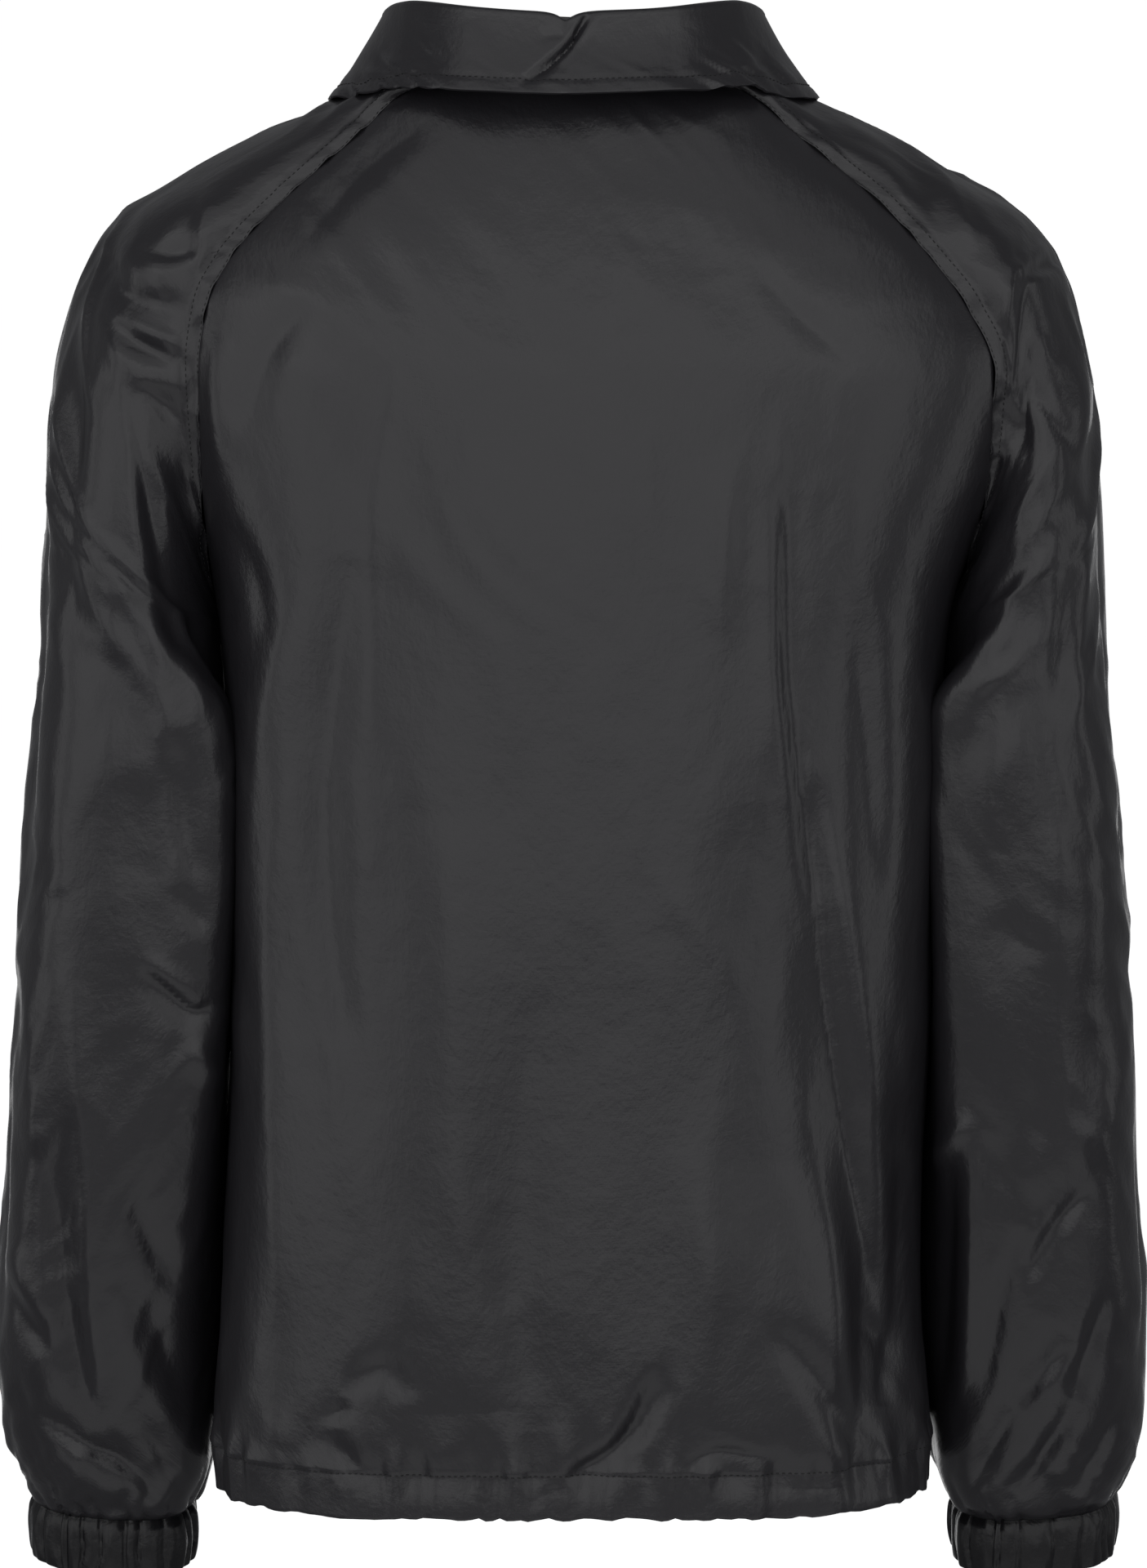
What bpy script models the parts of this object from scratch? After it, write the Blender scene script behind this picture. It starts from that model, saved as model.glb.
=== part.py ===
"""Coach jacket of thin nylon, hollow and in the shape that it has when worn.

The origin is in the middle of the neck, level with the neck seam at the sides. +Z is up, the front faces -Y,
the back +Y, and the wearer's left is +X. All sizes are in metres.
"""
import bpy
import numpy as np
from mathutils.bvhtree import BVHTree

# Cloth and seams
WALL = 0.0016              # thickness of the cloth's wall
SEAM_GAP = 0.0003          # left open between two pieces at a seam
LAP_STEP = 0.0024          # how far the right front lies inside the left one where they lap
LAP_HALF = 0.014           # half of the lap's width
LAP_RAMP = 0.045           # width over which the right front steps in
TORSO_SQUARENESS = 2.12    # exponent of the torso's rings, 2 for an ellipse
SLEEVE_HUG = 1.6           # how closely a hanging sleeve's inner side wraps round the torso's side
HUG_START = 0.050          # depth below the underarm over which the wrapping sets in
HUG_END = (-0.700, -0.630)  # levels between which it fades out towards the cuff
SEAM_FADE = 0.030          # folds fade out over this width beside a seam

# Sewn details
HEM_HEIGHT = 0.021         # height of the turned-up casing
HEM_WAVE = 0.0012          # height of the hem's gathers
HEM_WAVES = 15             # gathers across the back, and as many across the fronts
CUFF_HEIGHT = 0.0265
CUFF_GATHERS = 16
CUFF_GATHER_HEIGHT = 0.0011
LEAF_CLEAR = 0.0025        # gap between the collar's stand and its leaf at the fold
LEAF_BOW = -0.002          # how far the leaf bulges between its fold and its edge
COLLAR_OPENING = 0.0030    # between the collar's ends at the centre front
SNAP_RADIUS = 0.0065
SNAP_HEIGHT = 0.0026
SNAP_SIDES = 10
SNAP_OUTLINE = ((0.45, 0.94), (0.80, 0.72), (0.97, 0.36), (1.0, 0.10), (0.97, 0.0))   # radius and height, as parts
SNAP_CLEAR = 0.0006        # between a cap and the cloth
SNAP_LEVELS = (-0.078, -0.218, -0.358, -0.498, -0.638)

# Grid of the panels
BACK_COLUMNS = 36
FRONT_COLUMNS = 19
SLEEVE_COLUMNS = 24
ARMHOLE_ROWS = 9
BODY_ROWS = 12
SLEEVE_ROWS = 18
CUFF_COLUMNS = 48
COLLAR_COLUMNS = 50

# Torso rings from the hem up to the underarm.
# height, half-width on the left, half-width on the right, depth behind, depth in front
TORSO_RINGS = np.array([
    (-0.7035, 0.1815, 0.1815, 0.135, 0.137),
    (-0.6800, 0.1832, 0.1820, 0.136, 0.138),
    (-0.6200, 0.1800, 0.1780, 0.137, 0.140),
    (-0.5500, 0.1765, 0.1770, 0.136, 0.140),
    (-0.4500, 0.1725, 0.1820, 0.135, 0.140),
    (-0.3500, 0.1740, 0.1855, 0.135, 0.141),
    (-0.2700, 0.1780, 0.1870, 0.135, 0.140),
])

# Raglan seams from the underarm (0) to the neck (1), and the middle of the back and of the front beside them.
# way up, left x, right x, seam y, seam z, middle y, middle z
BACK_SEAM = np.array([
    (0.00, 0.1780, 0.1870, 0.000, -0.2700, 0.134, -0.270),
    (0.12, 0.1830, 0.1985, 0.042, -0.2320, 0.134, -0.232),
    (0.25, 0.1850, 0.2065, 0.070, -0.1900, 0.133, -0.191),
    (0.38, 0.1850, 0.2070, 0.083, -0.1430, 0.128, -0.146),
    (0.50, 0.1805, 0.1935, 0.083, -0.1100, 0.121, -0.115),
    (0.62, 0.1690, 0.1760, 0.079, -0.0860, 0.113, -0.088),
    (0.74, 0.1440, 0.1500, 0.071, -0.0580, 0.103, -0.060),
    (0.87, 0.1060, 0.1100, 0.062, -0.0245, 0.090, -0.028),
    (0.94, 0.0850, 0.0870, 0.059, -0.0050, 0.083, -0.012),
    (1.00, 0.0600, 0.0610, 0.058, 0.0060, 0.077, 0.003),
])
FRONT_SEAM = np.array([
    (0.00, 0.1780, 0.1870, 0.000, -0.2700, -0.139, -0.270),
    (0.12, 0.1770, 0.1900, -0.042, -0.2350, -0.139, -0.240),
    (0.25, 0.1720, 0.1870, -0.070, -0.2000, -0.138, -0.210),
    (0.38, 0.1620, 0.1760, -0.086, -0.1650, -0.135, -0.180),
    (0.50, 0.1490, 0.1600, -0.092, -0.1350, -0.130, -0.152),
    (0.62, 0.1330, 0.1400, -0.092, -0.1060, -0.122, -0.125),
    (0.74, 0.1130, 0.1170, -0.085, -0.0770, -0.111, -0.099),
    (0.87, 0.0880, 0.0900, -0.072, -0.0440, -0.096, -0.072),
    (1.00, 0.0660, 0.0670, -0.052, -0.0130, -0.079, -0.045),
])

# Upper sleeve, from the underarm (0) to the neck (1).
# way up, outermost x, its y, its z, depth behind, depth in front
SHOULDER = np.array([
    (0.00, 0.2676, -0.004, -0.2250, 0.088, 0.088),
    (0.12, 0.2655, -0.004, -0.1850, 0.090, 0.090),
    (0.25, 0.2612, -0.004, -0.1480, 0.091, 0.092),
    (0.38, 0.2545, -0.004, -0.1150, 0.092, 0.094),
    (0.50, 0.2440, -0.004, -0.0850, 0.091, 0.094),
    (0.62, 0.2240, -0.003, -0.0610, 0.087, 0.092),
    (0.74, 0.1840, -0.002, -0.0370, 0.077, 0.085),
    (0.87, 0.1340, 0.000, -0.0118, 0.065, 0.073),
    (1.00, 0.0900, 0.002, 0.0045, 0.056, 0.054),
])

# Lower sleeve, from the underarm to the cuff.
# height, gap to the torso's side, outermost x, its z, middle y, half-depth, slope towards the back
SLEEVE_RINGS = np.array([
    (-0.7290, 0.0170, 0.2815, -0.7235, -0.034, 0.036, -0.18),
    (-0.7180, 0.0110, 0.2855, -0.7120, -0.033, 0.044, -0.17),
    (-0.7000, 0.0055, 0.2915, -0.6960, -0.031, 0.052, -0.14),
    (-0.6750, 0.0020, 0.2958, -0.6720, -0.028, 0.059, -0.11),
    (-0.6400, 0.0020, 0.2962, -0.6380, -0.023, 0.065, -0.07),
    (-0.5700, 0.0022, 0.2918, -0.5690, -0.014, 0.070, -0.03),
    (-0.4800, 0.0022, 0.2852, -0.4770, -0.006, 0.075, 0.00),
    (-0.3900, 0.0022, 0.2782, -0.3800, -0.003, 0.080, 0.00),
    (-0.3200, 0.0022, 0.2715, -0.2950, -0.003, 0.085, 0.00),
    (-0.2850, 0.0015, 0.2688, -0.2450, -0.004, 0.087, 0.00),
    (-0.2700, 0.0005, 0.2676, -0.2250, -0.004, 0.088, 0.00),
])

# Collar, each half from the centre back (0) round to the centre front (1).
# way round, fold x, fold y, fold z, leaf's edge x, leaf's edge y, leaf's edge z
COLLAR = np.array([
    (0.00, 0.0000, 0.0860, 0.0335, 0.0000, 0.1060, -0.0070),
    (0.18, 0.0460, 0.0780, 0.0365, 0.0530, 0.0970, -0.0050),
    (0.34, 0.0820, 0.0480, 0.0415, 0.0980, 0.0640, -0.0010),
    (0.50, 0.0940, 0.0060, 0.0385, 0.1235, 0.0120, -0.0022),
    (0.66, 0.0880, -0.0380, 0.0260, 0.1230, -0.0480, -0.0115),
    (0.82, 0.0540, -0.0720, 0.0060, 0.0890, -0.0900, -0.0420),
    (1.00, 0.0015, -0.0860, -0.0120, 0.0340, -0.1090, -0.0780),
])

# Largest folds. Face is the side that they are seen on, across is x on the back and front and y on the sides.
# piece, face, across 1, z 1, across 2, z 2, half-width, height (a trough is negative)
FOLDS = [
    ("back", "back", -0.104, -0.200, -0.116, -0.400, 0.020, -0.0060),
    ("back", "back", -0.116, -0.400, -0.158, -0.620, 0.020, -0.0090),
    ("back", "back", -0.140, -0.230, -0.158, -0.480, 0.020, 0.0050),
    ("back", "back", 0.116, -0.280, 0.130, -0.440, 0.020, -0.0060),
    ("back", "back", 0.150, -0.330, 0.148, -0.600, 0.018, 0.0050),
    ("back", "back", 0.062, -0.360, 0.052, -0.650, 0.030, 0.0045),
    ("back", "back", -0.052, -0.630, 0.018, -0.692, 0.016, -0.0060),
    ("back", "back", 0.120, -0.640, 0.100, -0.690, 0.016, -0.0045),
    ("back", "back", -0.120, -0.640, -0.075, -0.690, 0.016, -0.0045),
    ("sleeve_left", "back", 0.200, -0.120, 0.245, -0.112, 0.024, -0.0050),
    ("sleeve_left", "back", 0.236, -0.150, 0.222, -0.340, 0.022, -0.0055),
    ("sleeve_left", "back", 0.238, -0.455, 0.196, -0.478, 0.018, -0.0065),
    ("sleeve_left", "back", 0.268, -0.530, 0.246, -0.670, 0.018, -0.0065),
    ("sleeve_left", "back", 0.272, -0.680, 0.216, -0.706, 0.014, -0.0060),
    ("sleeve_left", "back", 0.220, -0.560, 0.214, -0.650, 0.018, -0.0045),
    ("sleeve_right", "back", -0.228, -0.095, -0.222, -0.180, 0.024, -0.0050),
    ("sleeve_right", "back", -0.232, -0.185, -0.256, -0.205, 0.024, -0.0045),
    ("sleeve_right", "back", -0.206, -0.530, -0.200, -0.670, 0.018, -0.0080),
    ("sleeve_right", "back", -0.262, -0.560, -0.232, -0.630, 0.018, -0.0060),
    ("sleeve_right", "back", -0.256, -0.650, -0.226, -0.700, 0.015, -0.0050),
    ("sleeve_right", "back", -0.250, -0.300, -0.256, -0.480, 0.016, 0.0045),
    ("front_left", "front", 0.108, -0.250, 0.130, -0.520, 0.024, -0.0075),
    ("front_left", "front", 0.055, -0.400, 0.062, -0.660, 0.024, 0.0050),
    ("front_left", "front", 0.120, -0.600, 0.095, -0.690, 0.018, -0.0055),
    ("front_right", "front", -0.104, -0.220, -0.122, -0.480, 0.024, -0.0075),
    ("front_right", "front", -0.072, -0.400, -0.085, -0.640, 0.022, 0.0050),
    ("front_right", "front", -0.130, -0.580, -0.100, -0.690, 0.018, -0.0055),
    ("sleeve_left", "front", 0.198, -0.415, 0.256, -0.445, 0.018, -0.0070),
    ("sleeve_left", "front", 0.204, -0.475, 0.268, -0.480, 0.018, -0.0060),
    ("sleeve_left", "front", 0.205, -0.200, 0.236, -0.270, 0.024, -0.0050),
    ("sleeve_left", "front", 0.250, -0.560, 0.226, -0.670, 0.018, -0.0055),
    ("sleeve_right", "front", -0.200, -0.425, -0.258, -0.440, 0.018, -0.0070),
    ("sleeve_right", "front", -0.205, -0.485, -0.264, -0.505, 0.018, -0.0060),
    ("sleeve_right", "front", -0.212, -0.190, -0.240, -0.255, 0.024, -0.0050),
    ("sleeve_right", "front", -0.255, -0.575, -0.230, -0.680, 0.018, -0.0055),
]
FACES = {"back": (0, 1.0), "front": (0, -1.0)}

# Colour (linear), roughness and metallic value of the finishes
NYLON = ((0.0130, 0.0130, 0.0145), 0.46, 0.0)
ELASTIC = ((0.0115, 0.0115, 0.0125), 0.52, 0.0)
CAP = ((0.0120, 0.0120, 0.0130), 0.38, 0.0)


def read_table(table, where):
    """Every column of a table at the places given, on a smooth curve through its rows that never overshoots."""
    if table[0, 0] > table[-1, 0]:
        table = table[::-1]
    place, values = table[:, 0], table[:, 1:]
    step = np.diff(place)[:, None]
    slope = np.diff(values, axis=0) / step
    inner = np.where(slope[1:] * slope[:-1] > 0,
                     2 * slope[1:] * slope[:-1] / np.where(slope[1:] + slope[:-1] == 0, 1, slope[1:] + slope[:-1]),
                     0.0)
    tangent = np.vstack([slope[:1], inner, slope[-1:]])
    where = np.asarray(where, float)
    row = np.clip(np.searchsorted(place, where) - 1, 0, len(place) - 2)
    part = ((where - place[row]) / step[row, 0])[:, None]
    start, end = values[row], values[row + 1]
    return (start * (2 * part**3 - 3 * part**2 + 1) + end * (3 * part**2 - 2 * part**3)
            + step[row] * (tangent[row] * (part**3 - 2 * part**2 + part) + tangent[row + 1] * (part**3 - part**2)))


def power(value, exponent):
    """A signed power, so that a ring's formula holds all the way round."""
    return np.sign(value) * np.abs(value) ** exponent


def ease(value):
    """A smooth step from 0 to 1 as the value goes from 0 to 1."""
    value = np.clip(value, 0, 1)
    return value * value * (3 - 2 * value)


def torso_rows(seam, face):
    """Rows of the torso from the neck down to the hem: the seam's x on both sides, y and z, and the middle's.

    Above the underarm the rows follow the raglan seam. Below it they are level rings that end at the side seams.
    """
    upper = read_table(seam, np.linspace(1, 0, ARMHOLE_ROWS + 1))
    heights = np.concatenate([np.linspace(TORSO_RINGS[-1, 0], TORSO_RINGS[0, 0] + HEM_HEIGHT, BODY_ROWS)[1:],
                              TORSO_RINGS[0, 0] + HEM_HEIGHT * np.array([0.45, 0.0])])
    rings = read_table(TORSO_RINGS, heights)
    depth = rings[:, 2] if face > 0 else -rings[:, 3]
    lower = np.stack([rings[:, 0], rings[:, 1], 0 * depth, heights, depth, heights], axis=1)
    return np.vstack([upper, lower])


def torso_panel(rows, across):
    """Grid of points, one row per torso row. Across runs from -1 at the right seam over 0 to 1 at the left seam.

    Each half row is a piece of a superellipse through the seam's point and the middle's, with its level
    blended from one to the other. Past the middle it follows the other half's beginning, for the lap.
    """
    left, right, seam_y, seam_z, middle_y, middle_z = [column[:, None] for column in rows.T]
    width = np.where(across > 0, left, right)
    seam_sine = np.clip(seam_y / middle_y, 0, 1) ** (TORSO_SQUARENESS / 2)
    seam_angle = np.arcsin(seam_sine)
    half_width = width / np.cos(seam_angle) ** (2 / TORSO_SQUARENESS)
    angle = seam_angle + (np.pi / 2 - seam_angle) * (1 - np.abs(across))
    x = np.sign(across) * half_width * power(np.cos(angle), 2 / TORSO_SQUARENESS)
    y = middle_y * power(np.sin(angle), 2 / TORSO_SQUARENESS)
    blend = (np.sin(angle) - seam_sine) / (1 - seam_sine)
    return np.stack([x, y, seam_z + (middle_z - seam_z) * blend], axis=-1)


def front_across(rows, side):
    """Across values of a front, from its lapped edge just past the middle to its seam, row by row."""
    width = rows[:, 0 if side > 0 else 1]
    sine = np.clip(rows[:, 2] / rows[:, 4], 0, 1) ** (TORSO_SQUARENESS / 2)
    seam_angle = np.arcsin(sine)
    half_width = width / np.cos(seam_angle) ** (2 / TORSO_SQUARENESS)
    past = np.arcsin((LAP_HALF / half_width) ** (TORSO_SQUARENESS / 2)) / (np.pi / 2 - seam_angle)
    return side * np.linspace(-past, 1, FRONT_COLUMNS).T


def sleeve_grid(side):
    """Grid of a sleeve, a row per section from the neck to the cuff, round from the back over the top to the front.

    A section's half goes from its outermost point to the seam, or to the sleeve's inner side below the underarm,
    along an ellipse that is cut off where it meets the seam.
    """
    way = np.linspace(1, 0, ARMHOLE_ROWS + 1)
    top = read_table(SHOULDER, way)
    column = 0 if side > 0 else 1
    seams = [read_table(table, way)[:, [column, 2, 3]] for table in (BACK_SEAM, FRONT_SEAM)]
    heights = -np.linspace(-SLEEVE_RINGS[-1, 0], -SLEEVE_RINGS[0, 0], SLEEVE_ROWS + 1)
    lower = read_table(SLEEVE_RINGS, heights)
    torso = read_table(TORSO_RINGS, np.clip(heights, TORSO_RINGS[0, 0], TORSO_RINGS[-1, 0]))
    inner_x = torso[:, column] + lower[:, 0]
    flat = 0 * heights
    wrapped = SLEEVE_HUG * (ease((TORSO_RINGS[-1, 0] - heights) / HUG_START)
                            * ease((heights - HUG_END[0]) / (HUG_END[1] - HUG_END[0])))
    hug = np.concatenate([0 * way[:-1], wrapped])[:, None]
    ring_width = np.concatenate([0 * way[:-1], torso[:, column]])[:, None]
    ring_depth = np.concatenate([1 + 0 * way[:-1], torso[:, 2]])[:, None]
    outer = np.vstack([top[:-1, :3], np.stack([lower[:, 1], lower[:, 3], lower[:, 2]], axis=1)])
    slope = np.concatenate([0 * way[:-1], lower[:, 5]])[:, None]
    halves = []
    for seam, sign, depth in ((seams[0], 1, top[:, 3]), (seams[1], -1, top[:, 4])):
        inner = np.vstack([seam[:-1], np.stack([inner_x, lower[:, 3] + flat, heights], axis=1)])
        half_depth = np.concatenate([depth[:-1], lower[:, 4]])
        reach = sign * (inner[:, 1] - outer[:, 1])
        half_depth = np.maximum(half_depth, reach * 1.0005)
        end = (np.pi - np.arcsin(np.clip(reach / half_depth, 0, 1)))[:, None]
        angle = end * np.linspace(1, 0, SLEEVE_COLUMNS // 2 + 1)
        along = (np.cos(angle) - np.cos(end)) / (1 - np.cos(end))
        x = inner[:, :1] + (outer[:, :1] - inner[:, :1]) * along
        bulge = sign * half_depth[:, None] * np.sin(angle)
        y = outer[:, 1:2] + bulge
        z = inner[:, 2:] + (outer[:, 2:] - inner[:, 2:]) * along + slope * bulge
        part = np.clip(np.abs(y) / ring_depth, 0, 1) ** TORSO_SQUARENESS
        fall = ring_width * (1 - (1 - part) ** (1 / TORSO_SQUARENESS))
        x = x - hug * fall * (1 - along) ** 2
        halves.append(np.stack([side * x, y, z], axis=-1))
    return np.concatenate([halves[0], halves[1][:, -2::-1]], axis=1)


def grid_normals(points, inside, closed_from=None):
    """Unit normals of a grid of points, facing away from the point or points inside, where that is told apart.

    From row closed_from on, the grid's first and last columns are the same line.
    """
    down = np.gradient(points, axis=0)
    round_ = np.gradient(points, axis=1)
    if closed_from is not None:
        wrapped = points[closed_from:, 1] - points[closed_from:, -2]
        round_[closed_from:, 0] = wrapped
        round_[closed_from:, -1] = wrapped
    normal = np.cross(down, round_)
    normal /= np.linalg.norm(normal, axis=-1, keepdims=True)
    turn = np.sum(normal * (points - inside))
    return normal * (1 if turn >= 0 else -1)


def fold_height(piece, points, normals):
    """How far each point moves out for the folds of its piece: soft troughs and ridges along straight lines."""
    height = np.zeros(points.shape[:-1])
    for name, face, across_1, z_1, across_2, z_2, half_width, tall in FOLDS:
        if name != piece:
            continue
        axis, facing = FACES[face]
        start = np.array([across_1, z_1])
        run = np.array([across_2, z_2]) - start
        offset = points[..., [axis, 2]] - start
        along = np.clip((offset @ run) / (run @ run), 0, 1)
        away = np.linalg.norm(offset - along[..., None] * run, axis=-1)
        seen = ease(2.5 * facing * normals[..., 1])
        height += tall * np.exp(-(away / half_width) ** 2) * seen * (0.35 + 0.65 * np.sin(np.pi * along))
    return height


def seam_fade(points, edges):
    """1 inside a panel, falling to 0 at the edges named: first or last, for the grid's columns or rows."""
    fade = np.ones(points.shape[:-1])
    for edge in edges:
        line = {"first": points[:, :1], "last": points[:, -1:], "top": points[:1], "bottom": points[-1:]}[edge]
        fade = fade * ease(np.linalg.norm(points - line, axis=-1) / SEAM_FADE)
    return fade


def open_seam(points, edges):
    """Draw a grid's edges back by half a seam gap, along the cloth."""
    points = points.copy()
    for edge in edges:
        here, beside = {"first": (np.s_[:, 0], np.s_[:, 1]), "last": (np.s_[:, -1], np.s_[:, -2]),
                        "top": (np.s_[0], np.s_[1]), "bottom": (np.s_[-1], np.s_[-2])}[edge]
        inward = points[beside] - points[here]
        points[here] += inward / np.linalg.norm(inward, axis=-1, keepdims=True) * SEAM_GAP / 2
    return points


def finish(name, finish_values):
    """The piece's own material."""
    colour, roughness, metallic = finish_values
    material = bpy.data.materials.new(name)
    material.use_nodes = True
    shader = material.node_tree.nodes["Principled BSDF"]
    shader.inputs["Base Color"].default_value = (*colour, 1.0)
    shader.inputs["Roughness"].default_value = roughness
    shader.inputs["Metallic"].default_value = metallic
    return material


def add_object(name, vertices, faces, finish_values):
    """A named object from points and faces, smooth but for its edges."""
    mesh = bpy.data.meshes.new(name)
    mesh.from_pydata(vertices.tolist(), [], faces)
    mesh.materials.append(finish(name, finish_values))
    mesh.shade_smooth()
    mesh.set_sharp_from_angle(angle=np.radians(50))
    shape = bpy.data.objects.new(name, mesh)
    bpy.context.scene.collection.objects.link(shape)
    return shape


def cloth_piece(name, points, normals, thickness=WALL, finish_values=NYLON, closed_from=None, round_=False):
    """A wall of cloth behind a grid of outer points, closed along its edges.

    From row closed_from on, the first and last columns are welded, so the piece is a tube there. A piece that is
    round all the way has no double column.
    """
    rows, columns = points.shape[:2]
    inner = points - normals * thickness
    index = np.arange(rows * columns).reshape(rows, columns)
    if closed_from is not None:
        index[closed_from:, -1] = index[closed_from:, 0]
    if round_:
        index = np.hstack([index, index[:, :1]])
    quads = np.stack([index[:-1, :-1], index[:-1, 1:], index[1:, 1:], index[1:, :-1]], axis=-1).reshape(-1, 4)
    corner = points.reshape(-1, 3)[quads]
    facing = np.cross(corner[:, 1] - corner[:, 0], corner[:, 3] - corner[:, 0])
    outward = normals.reshape(-1, 3)[quads[:, 0]]
    if np.sum(facing * outward) < 0:
        quads = quads[:, ::-1]
    used, renamed = np.unique(quads, return_inverse=True)
    quads = renamed.reshape(-1, 4)
    count = len(used)
    vertices = np.vstack([points.reshape(-1, 3)[used], inner.reshape(-1, 3)[used]])
    edges = {(a, b) for quad in quads.tolist() for a, b in zip(quad, quad[1:] + quad[:1])}
    rim = [(b, a, a + count, b + count) for a, b in sorted(edges) if (b, a) not in edges]
    faces = quads.tolist() + (quads[:, ::-1] + count).tolist() + rim
    return add_object(name, vertices, faces, finish_values)


def torso_pieces():
    """The back and the two fronts, as name, outer points and normals."""
    axis = np.array([0.0, 0.0, -0.4])
    back_rows = torso_rows(BACK_SEAM, 1)
    front_rows = torso_rows(FRONT_SEAM, -1)
    pieces = {}
    spread = np.linspace(-1, 1, BACK_COLUMNS + 1)
    pieces["back"] = torso_panel(back_rows, spread)
    pieces["front_left"] = torso_panel(front_rows, front_across(front_rows, 1))
    pieces["front_right"] = torso_panel(front_rows, front_across(front_rows, -1))
    result = {}
    for name, points in pieces.items():
        normals = grid_normals(points, axis * [1, 1, 0])
        edges = ["first", "last", "top"] if name == "back" else ["last", "top"]
        fade = seam_fade(points, edges)
        from_hem = (points[..., 2] - TORSO_RINGS[0, 0]) / HEM_HEIGHT
        turn = np.arctan2(points[..., 0], np.abs(points[..., 1]))
        wave = np.sin(2 * HEM_WAVES * turn + 1.3 * np.sin(5 * turn)) * (0.7 + 0.3 * np.cos(7 * turn))
        gathers = HEM_WAVE * wave * ease(2.2 - from_hem * 0.8) * seam_fade(points, edges[:-1])
        offset = fold_height(name, points, normals) * fade + gathers
        if name == "front_right":
            offset = offset - LAP_STEP * ease((points[..., 0] + LAP_HALF + LAP_RAMP) / LAP_RAMP)
        result[name] = (open_seam(points + normals * offset[..., None], edges[:-1]), normals)
    return result


def sleeve_piece(name, side):
    """A sleeve's outer points and normals."""
    points = sleeve_grid(side)
    middle = points.mean(axis=1, keepdims=True)
    normals = grid_normals(points, middle, closed_from=ARMHOLE_ROWS)
    seams = seam_fade(points[:ARMHOLE_ROWS + 1], ["first", "last", "top"])
    below = ease(1 - seam_fade(points, ["bottom"]))
    fade = 1 - below
    fade[:ARMHOLE_ROWS + 1] *= seams
    points = points + normals * (fold_height(name, points, normals) * fade)[..., None]
    points[:ARMHOLE_ROWS] = open_seam(points[:ARMHOLE_ROWS], ["first", "last"])
    return points, normals


def cuff_piece(side):
    """A gathered band that carries on from the sleeve's last section."""
    ring = read_table(SLEEVE_RINGS, [SLEEVE_RINGS[0, 0]])[0]
    torso = read_table(TORSO_RINGS, [TORSO_RINGS[0, 0]])[0]
    inner_x = torso[0 if side > 0 else 1] + ring[0]
    angle = np.linspace(0, 2 * np.pi, CUFF_COLUMNS, endpoint=False)
    middle = np.array([(inner_x + ring[1]) / 2, ring[3], (SLEEVE_RINGS[0, 0] + ring[2]) / 2])
    half_width = (ring[1] - inner_x) / 2
    tilt = (ring[2] - SLEEVE_RINGS[0, 0]) / (2 * half_width)
    rows = np.array([0.0, 0.12, 0.5, 0.9, 1.0])[:, None]
    plump = np.array([0.0, 0.8, 1.0, 0.7, 0.0])[:, None]
    wave = np.sin(CUFF_GATHERS * angle + 1.1 * np.sin(3 * angle)) * (0.75 + 0.25 * np.cos(5 * angle))
    out = 1 + (0.0012 * plump + CUFF_GATHER_HEIGHT * wave * plump - 0.0010 * (rows == 1)) / half_width
    x = half_width * np.cos(angle) * out
    y = ring[4] * np.sin(angle) * out
    z = tilt * x + ring[5] * y - SEAM_GAP - (CUFF_HEIGHT - SEAM_GAP) * rows
    points = np.stack([side * (middle[0] + x), middle[1] + y, middle[2] + z], axis=-1)
    ahead = np.roll(points, -1, axis=1) - np.roll(points, 1, axis=1)
    normals = np.cross(np.gradient(points, axis=0), ahead)
    normals /= np.linalg.norm(normals, axis=-1, keepdims=True)
    centre = points.mean(axis=1, keepdims=True)
    return points, normals * np.sign(np.sum(normals * (points - centre), axis=-1, keepdims=True))


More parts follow.
